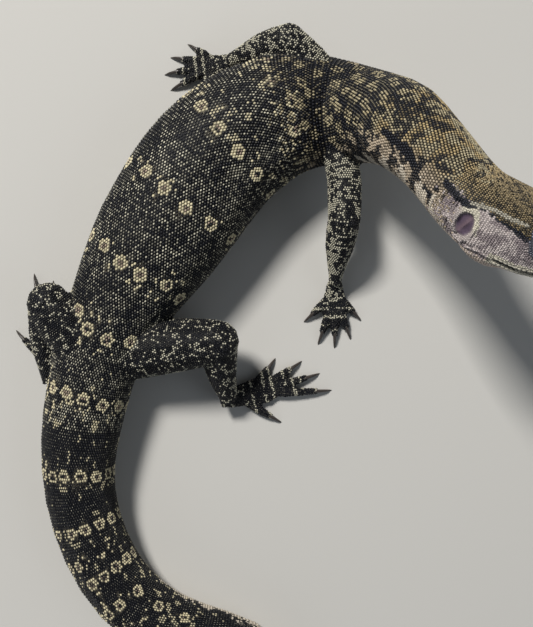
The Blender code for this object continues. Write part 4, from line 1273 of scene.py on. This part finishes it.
def bare(points):
    """Which points are on an ear drum, in a nostril, between the lips or at an eyeball."""
    place = either_side(points)
    behind, out, up = place.T
    near_head = np.linalg.norm(points - head_place(HEAD_MIDDLE, 0.0, 0.0), axis=1) < HEAD_ROUND
    drum = (oval(behind, up, EAR, EAR_HALF) < EAR_CLEAR) & (out > EAR_OUT)
    nostril = oval(behind, up, NOSTRIL, NOSTRIL_HALF) < 1.0
    gape = (np.abs(up - pitch_of(MOUTH_HEIGHT, behind)) < MOUTH_CLEAR) & (behind < MOUTH_CORNER)
    at_eye = np.linalg.norm(place - EYE, axis=1) < EYE_CLEAR
    return near_head & (drum | nostril | gape | at_eye)


found_places = np.array([f[0] for f in found])
found_owner = owners_of(found_places)
for (place, normal, along, around, kind), owner, off in zip(found, found_owner, bare(found_places)):
    right_part = owner < len(TRUNK) if kind == "trunk" else FLESH[owner] in LEG_NODES[kind]
    room = (HEAD_ROW_CROWD if owner == 0 else ROW_CROWD) * min(along, around)
    if right_part and not off and plot.free(place, room):
        plot.take(place, room)
        scales.append((place, normal, along, around, owner))
for place, normal in lid_scales:
    if plot.free(place, LID_CROWD):
        plot.take(place, LID_CROWD)
        scales.append((place, normal, LID_SCALE, LID_SCALE, 0))

# What the rows leave open, and head, hands and feet, are filled with scales in no order:
# places picked at random on the skin's faces, more often where these weights are high.
FILL_TRIES = 300000
FOOT_SPREAD, FILL_LONGER = 1.2, 1.05
FOOT_WEIGHT, LEG_WEIGHT, HEAD_WEIGHT = 6.0, 3.0, 3.0
skin.data.calc_loop_triangles()
corners = np.array([t.vertices[:] for t in skin.data.loop_triangles])
first, second, third = (skin_points[corners[:, i]] for i in range(3))
across = np.cross(second - first, third - first)
areas = np.linalg.norm(across, axis=1)
feet = [FLESH.index(nodes[2]) for nodes in LEG_NODES.values()]
face_owner, face_at = skin_owner[corners[:, 0]], skin_at[corners[:, 0]]
areas *= np.select([np.isin(face_owner, feet), face_owner >= len(TRUNK), face_at < JAW_UNTIL],
                   [FOOT_WEIGHT, LEG_WEIGHT, HEAD_WEIGHT], 1.0)
picks = rng.choice(len(areas), FILL_TRIES, p=areas / areas.sum())
a, b = rng.random((2, FILL_TRIES, 1))
flip = a + b > 1
a, b = np.where(flip, 1 - a, a), np.where(flip, 1 - b, b)
tries = first[picks] + (second[picks] - first[picks]) * a + (third[picks] - first[picks]) * b
try_normals, try_owner, try_at = unit(across)[picks], face_owner[picks], face_at[picks]
head_room = np.interp(in_head(tries)[:, 2], [3.0, 7.0], HEAD_PITCHES)
room = np.where(try_at < JAW_UNTIL, head_room, pitch_of(PITCH_AROUND, try_at))
leg_room = np.where(np.isin(try_owner, feet), TOE_PITCH, LEG_PITCH)
room = np.where(try_owner >= len(TRUNK), leg_room, room)
kept = ~bare(tries)
for place, normal, gap, owner in zip(tries[kept].tolist(), try_normals[kept].tolist(), room[kept].tolist(),
                                     try_owner[kept]):
    if plot.free(place, FILL_CROWD * gap):
        plot.take(place, FILL_CROWD * gap)
        wide = gap * FOOT_SPREAD if owner in feet else gap
        scales.append((place, normal, wide * FILL_LONGER, wide, owner))

# Every scale's marks, and its material: the base colour with the crown's over its top.
SCALE_AT, SCALE_NORMAL, SCALE_LONG, SCALE_WIDE, SCALE_OWNER = (np.array(column) for column in zip(*scales))
SCALE_NORMAL = unit(SCALE_NORMAL)
scale_s, scale_turn = on_trunk(SCALE_AT)
SCALE_CHANCE = rng.random(len(scales))
scale_marks = markings(SCALE_AT, scale_s, scale_turn, SCALE_OWNER, SCALE_CHANCE)
lie = -axes_at(scale_s)[0]

scale_finish = Finish("scales", Roughness=0.42, Specular_IOR_Level=0.35)
soft_edge = scale_finish.attribute("above_edge", "Fac") * 5.0 + 0.5
covered = scale_finish.add("ShaderNodeClamp", {}, [soft_edge])
colour = scale_finish.mixed(covered, scale_finish.attribute("base"), scale_finish.attribute("crown"))
scale_finish.feed("Base Color", colour)
scale_finish.feed("Roughness", 0.36 + 0.2 * scale_finish.noise(1400.0))
scale_finish.feed("Normal", scale_finish.bump(scale_finish.noise(4200.0), 0.25, 0.0001))

# In the unwrap a scale is this small, and none is nearer to the edge than this.
PATCH, UNWRAP_EDGE = 0.003, 0.003
ABOVE_FLOOR = 0.01
# How high up a scale its crown's colour starts: less high, the more of it is to be covered.
CROWN_FROM, CROWN_LOWERED = 1.1, 1.3


def laid(name, chosen, shape, lies, along_it, turn):
    """One joined mesh of the chosen scales, each turned to its lie on the skin.

    Its unwrap spreads them by their share of the way along the piece and their turn round it.
    """
    corners, triangles = SHAPES[shape]
    place, normal = SCALE_AT[chosen], SCALE_NORMAL[chosen]
    along = unit(lies - normal * (lies * normal).sum(axis=1)[:, None])
    across = np.cross(normal, along)
    long, wide = SCALE_LONG[chosen][:, None, None], SCALE_WIDE[chosen][:, None, None]
    lift = (0.5 * (SCALE_LONG + SCALE_WIDE)[chosen])[:, None, None]
    points = (place[:, None, :]
              + along[:, None, :] * corners[None, :, 0:1] * long
              + across[:, None, :] * corners[None, :, 1:2] * wide
              + normal[:, None, :] * corners[None, :, 2:3] * lift)
    points[:, :, 2] = np.maximum(points[:, :, 2], ABOVE_FLOOR)
    count, each = len(chosen), len(corners)
    faces = (triangles[None] + (np.arange(count) * each)[:, None, None]).reshape(-1, 3)
    mesh = bpy.data.meshes.new(name)
    mesh.vertices.add(count * each)
    mesh.loops.add(faces.size)
    mesh.polygons.add(len(faces))
    mesh.loops.foreach_set("vertex_index", faces.ravel().astype(np.int32))
    mesh.polygons.foreach_set("loop_start", np.arange(len(faces), dtype=np.int32) * 3)
    mesh.polygons.foreach_set("use_smooth", [True] * len(faces))
    mesh.vertices.foreach_set("co", (points * MM).astype(np.float32).ravel())
    mesh.update(calc_edges=True)
    height = np.clip(corners[:, 2] / BEAD_RISE, 0.0, 1.0)
    above_edge = height[None, :] - (CROWN_FROM - CROWN_LOWERED * scale_marks.dot[chosen])[:, None]
    paint(mesh, "base", np.repeat(scale_marks.base[chosen], each, axis=0))
    paint(mesh, "crown", np.repeat(scale_marks.crown[chosen], each, axis=0))
    layer = mesh.attributes.new("above_edge", "FLOAT", "POINT")
    layer.data.foreach_set("value", above_edge.astype(np.float32).ravel())
    unwrap = np.clip(np.column_stack([along_it, turn / (2 * np.pi) + 0.5]), UNWRAP_EDGE, 1 - UNWRAP_EDGE)
    patch = unwrap[:, None, :] + corners[None, :, :2] * PATCH
    uv = mesh.uv_layers.new(name="OFBake")
    uv.data.foreach_set("uv", patch.reshape(-1, 2)[faces.ravel()].astype(np.float32).ravel())
    mesh.materials.append(scale_finish.material)
    made = bpy.data.objects.new(name, mesh)
    bpy.context.scene.collection.objects.link(made)
    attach(made, "root")


# Where each length of scales starts behind the snout. It ends where the next one starts.
LENGTHS = [("muzzle", 0), ("head", 34), ("neck", 62), ("shoulders", 98), ("chest", 132), ("back", 160),
           ("loins", 188), ("flanks", 216), ("hips", 248), ("tail_base", 290), ("tail_middle", 369),
           ("tail_rear", 459), ("tail_whip", 544), ("end", 700)]
on_body = SCALE_OWNER < len(TRUNK)
from_snout = np.maximum(scale_s, 0.0)
for (name, low), (_, high) in zip(LENGTHS, LENGTHS[1:]):
    chosen = np.flatnonzero(on_body & (from_snout >= low) & (from_snout < high))
    along_it = (from_snout[chosen] - low) / (min(high, TAIL_END) - low)
    shape = "keeled" if name.startswith("tail") else "bead"
    laid(f"scales_{name}", chosen, shape, lie[chosen], along_it, scale_turn[chosen])
for name, nodes in LEG_NODES.items():
    chosen = np.flatnonzero(np.isin(SCALE_OWNER, [FLESH.index(node) for node in nodes]))
    down, turn, ways = on_leg(name, SCALE_AT[chosen])
    laid(f"scales_{name}", chosen, "keeled", ways, down / (down.max() + 1), turn)


# The claws: curved dark horn, one on each finger and toe, rounded from the solids. Their
# bases reach into the toes, which hold them.
CLAW_ROOT, BASE_SHARE = 1.9, 0.2
HORN_DARK, HORN_LIGHT = (0.012, 0.01, 0.01, 1), (0.075, 0.06, 0.05, 1)
horn = Finish("claw_horn", Roughness=0.32, Specular_IOR_Level=0.5)
streaks = horn.noise(1500.0, 3.0)
horn.feed("Base Color", horn.mixed(streaks, HORN_DARK, HORN_LIGHT))
horn.feed("Normal", horn.bump(streaks, 0.2, 0.0001))
for node in [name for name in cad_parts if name.startswith("claw_")]:
    claw, _ = gathered([node], node.replace("claw_", "horn_"))
    points = points_of(claw.data)
    gaps = np.array([skin_tree.find_nearest(place)[3] for place in points.tolist()])
    tip, root = points[gaps.argmax()], points[gaps <= np.quantile(gaps, BASE_SHARE)].mean(axis=0)
    share = (points - tip) @ unit(root - tip) / np.linalg.norm(root - tip)
    put_points(claw.data, points + np.outer(CLAW_ROOT * smooth(0.6, 1.0, share), unit(root - tip)))
    apply(claw, "SUBSURF", levels=2, render_levels=2)
    claw.data.polygons.foreach_set("use_smooth", [True] * len(claw.data.polygons))
    claw.data.materials.clear()
    claw.data.materials.append(horn.material)
    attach(claw, "root")
    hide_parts(node)
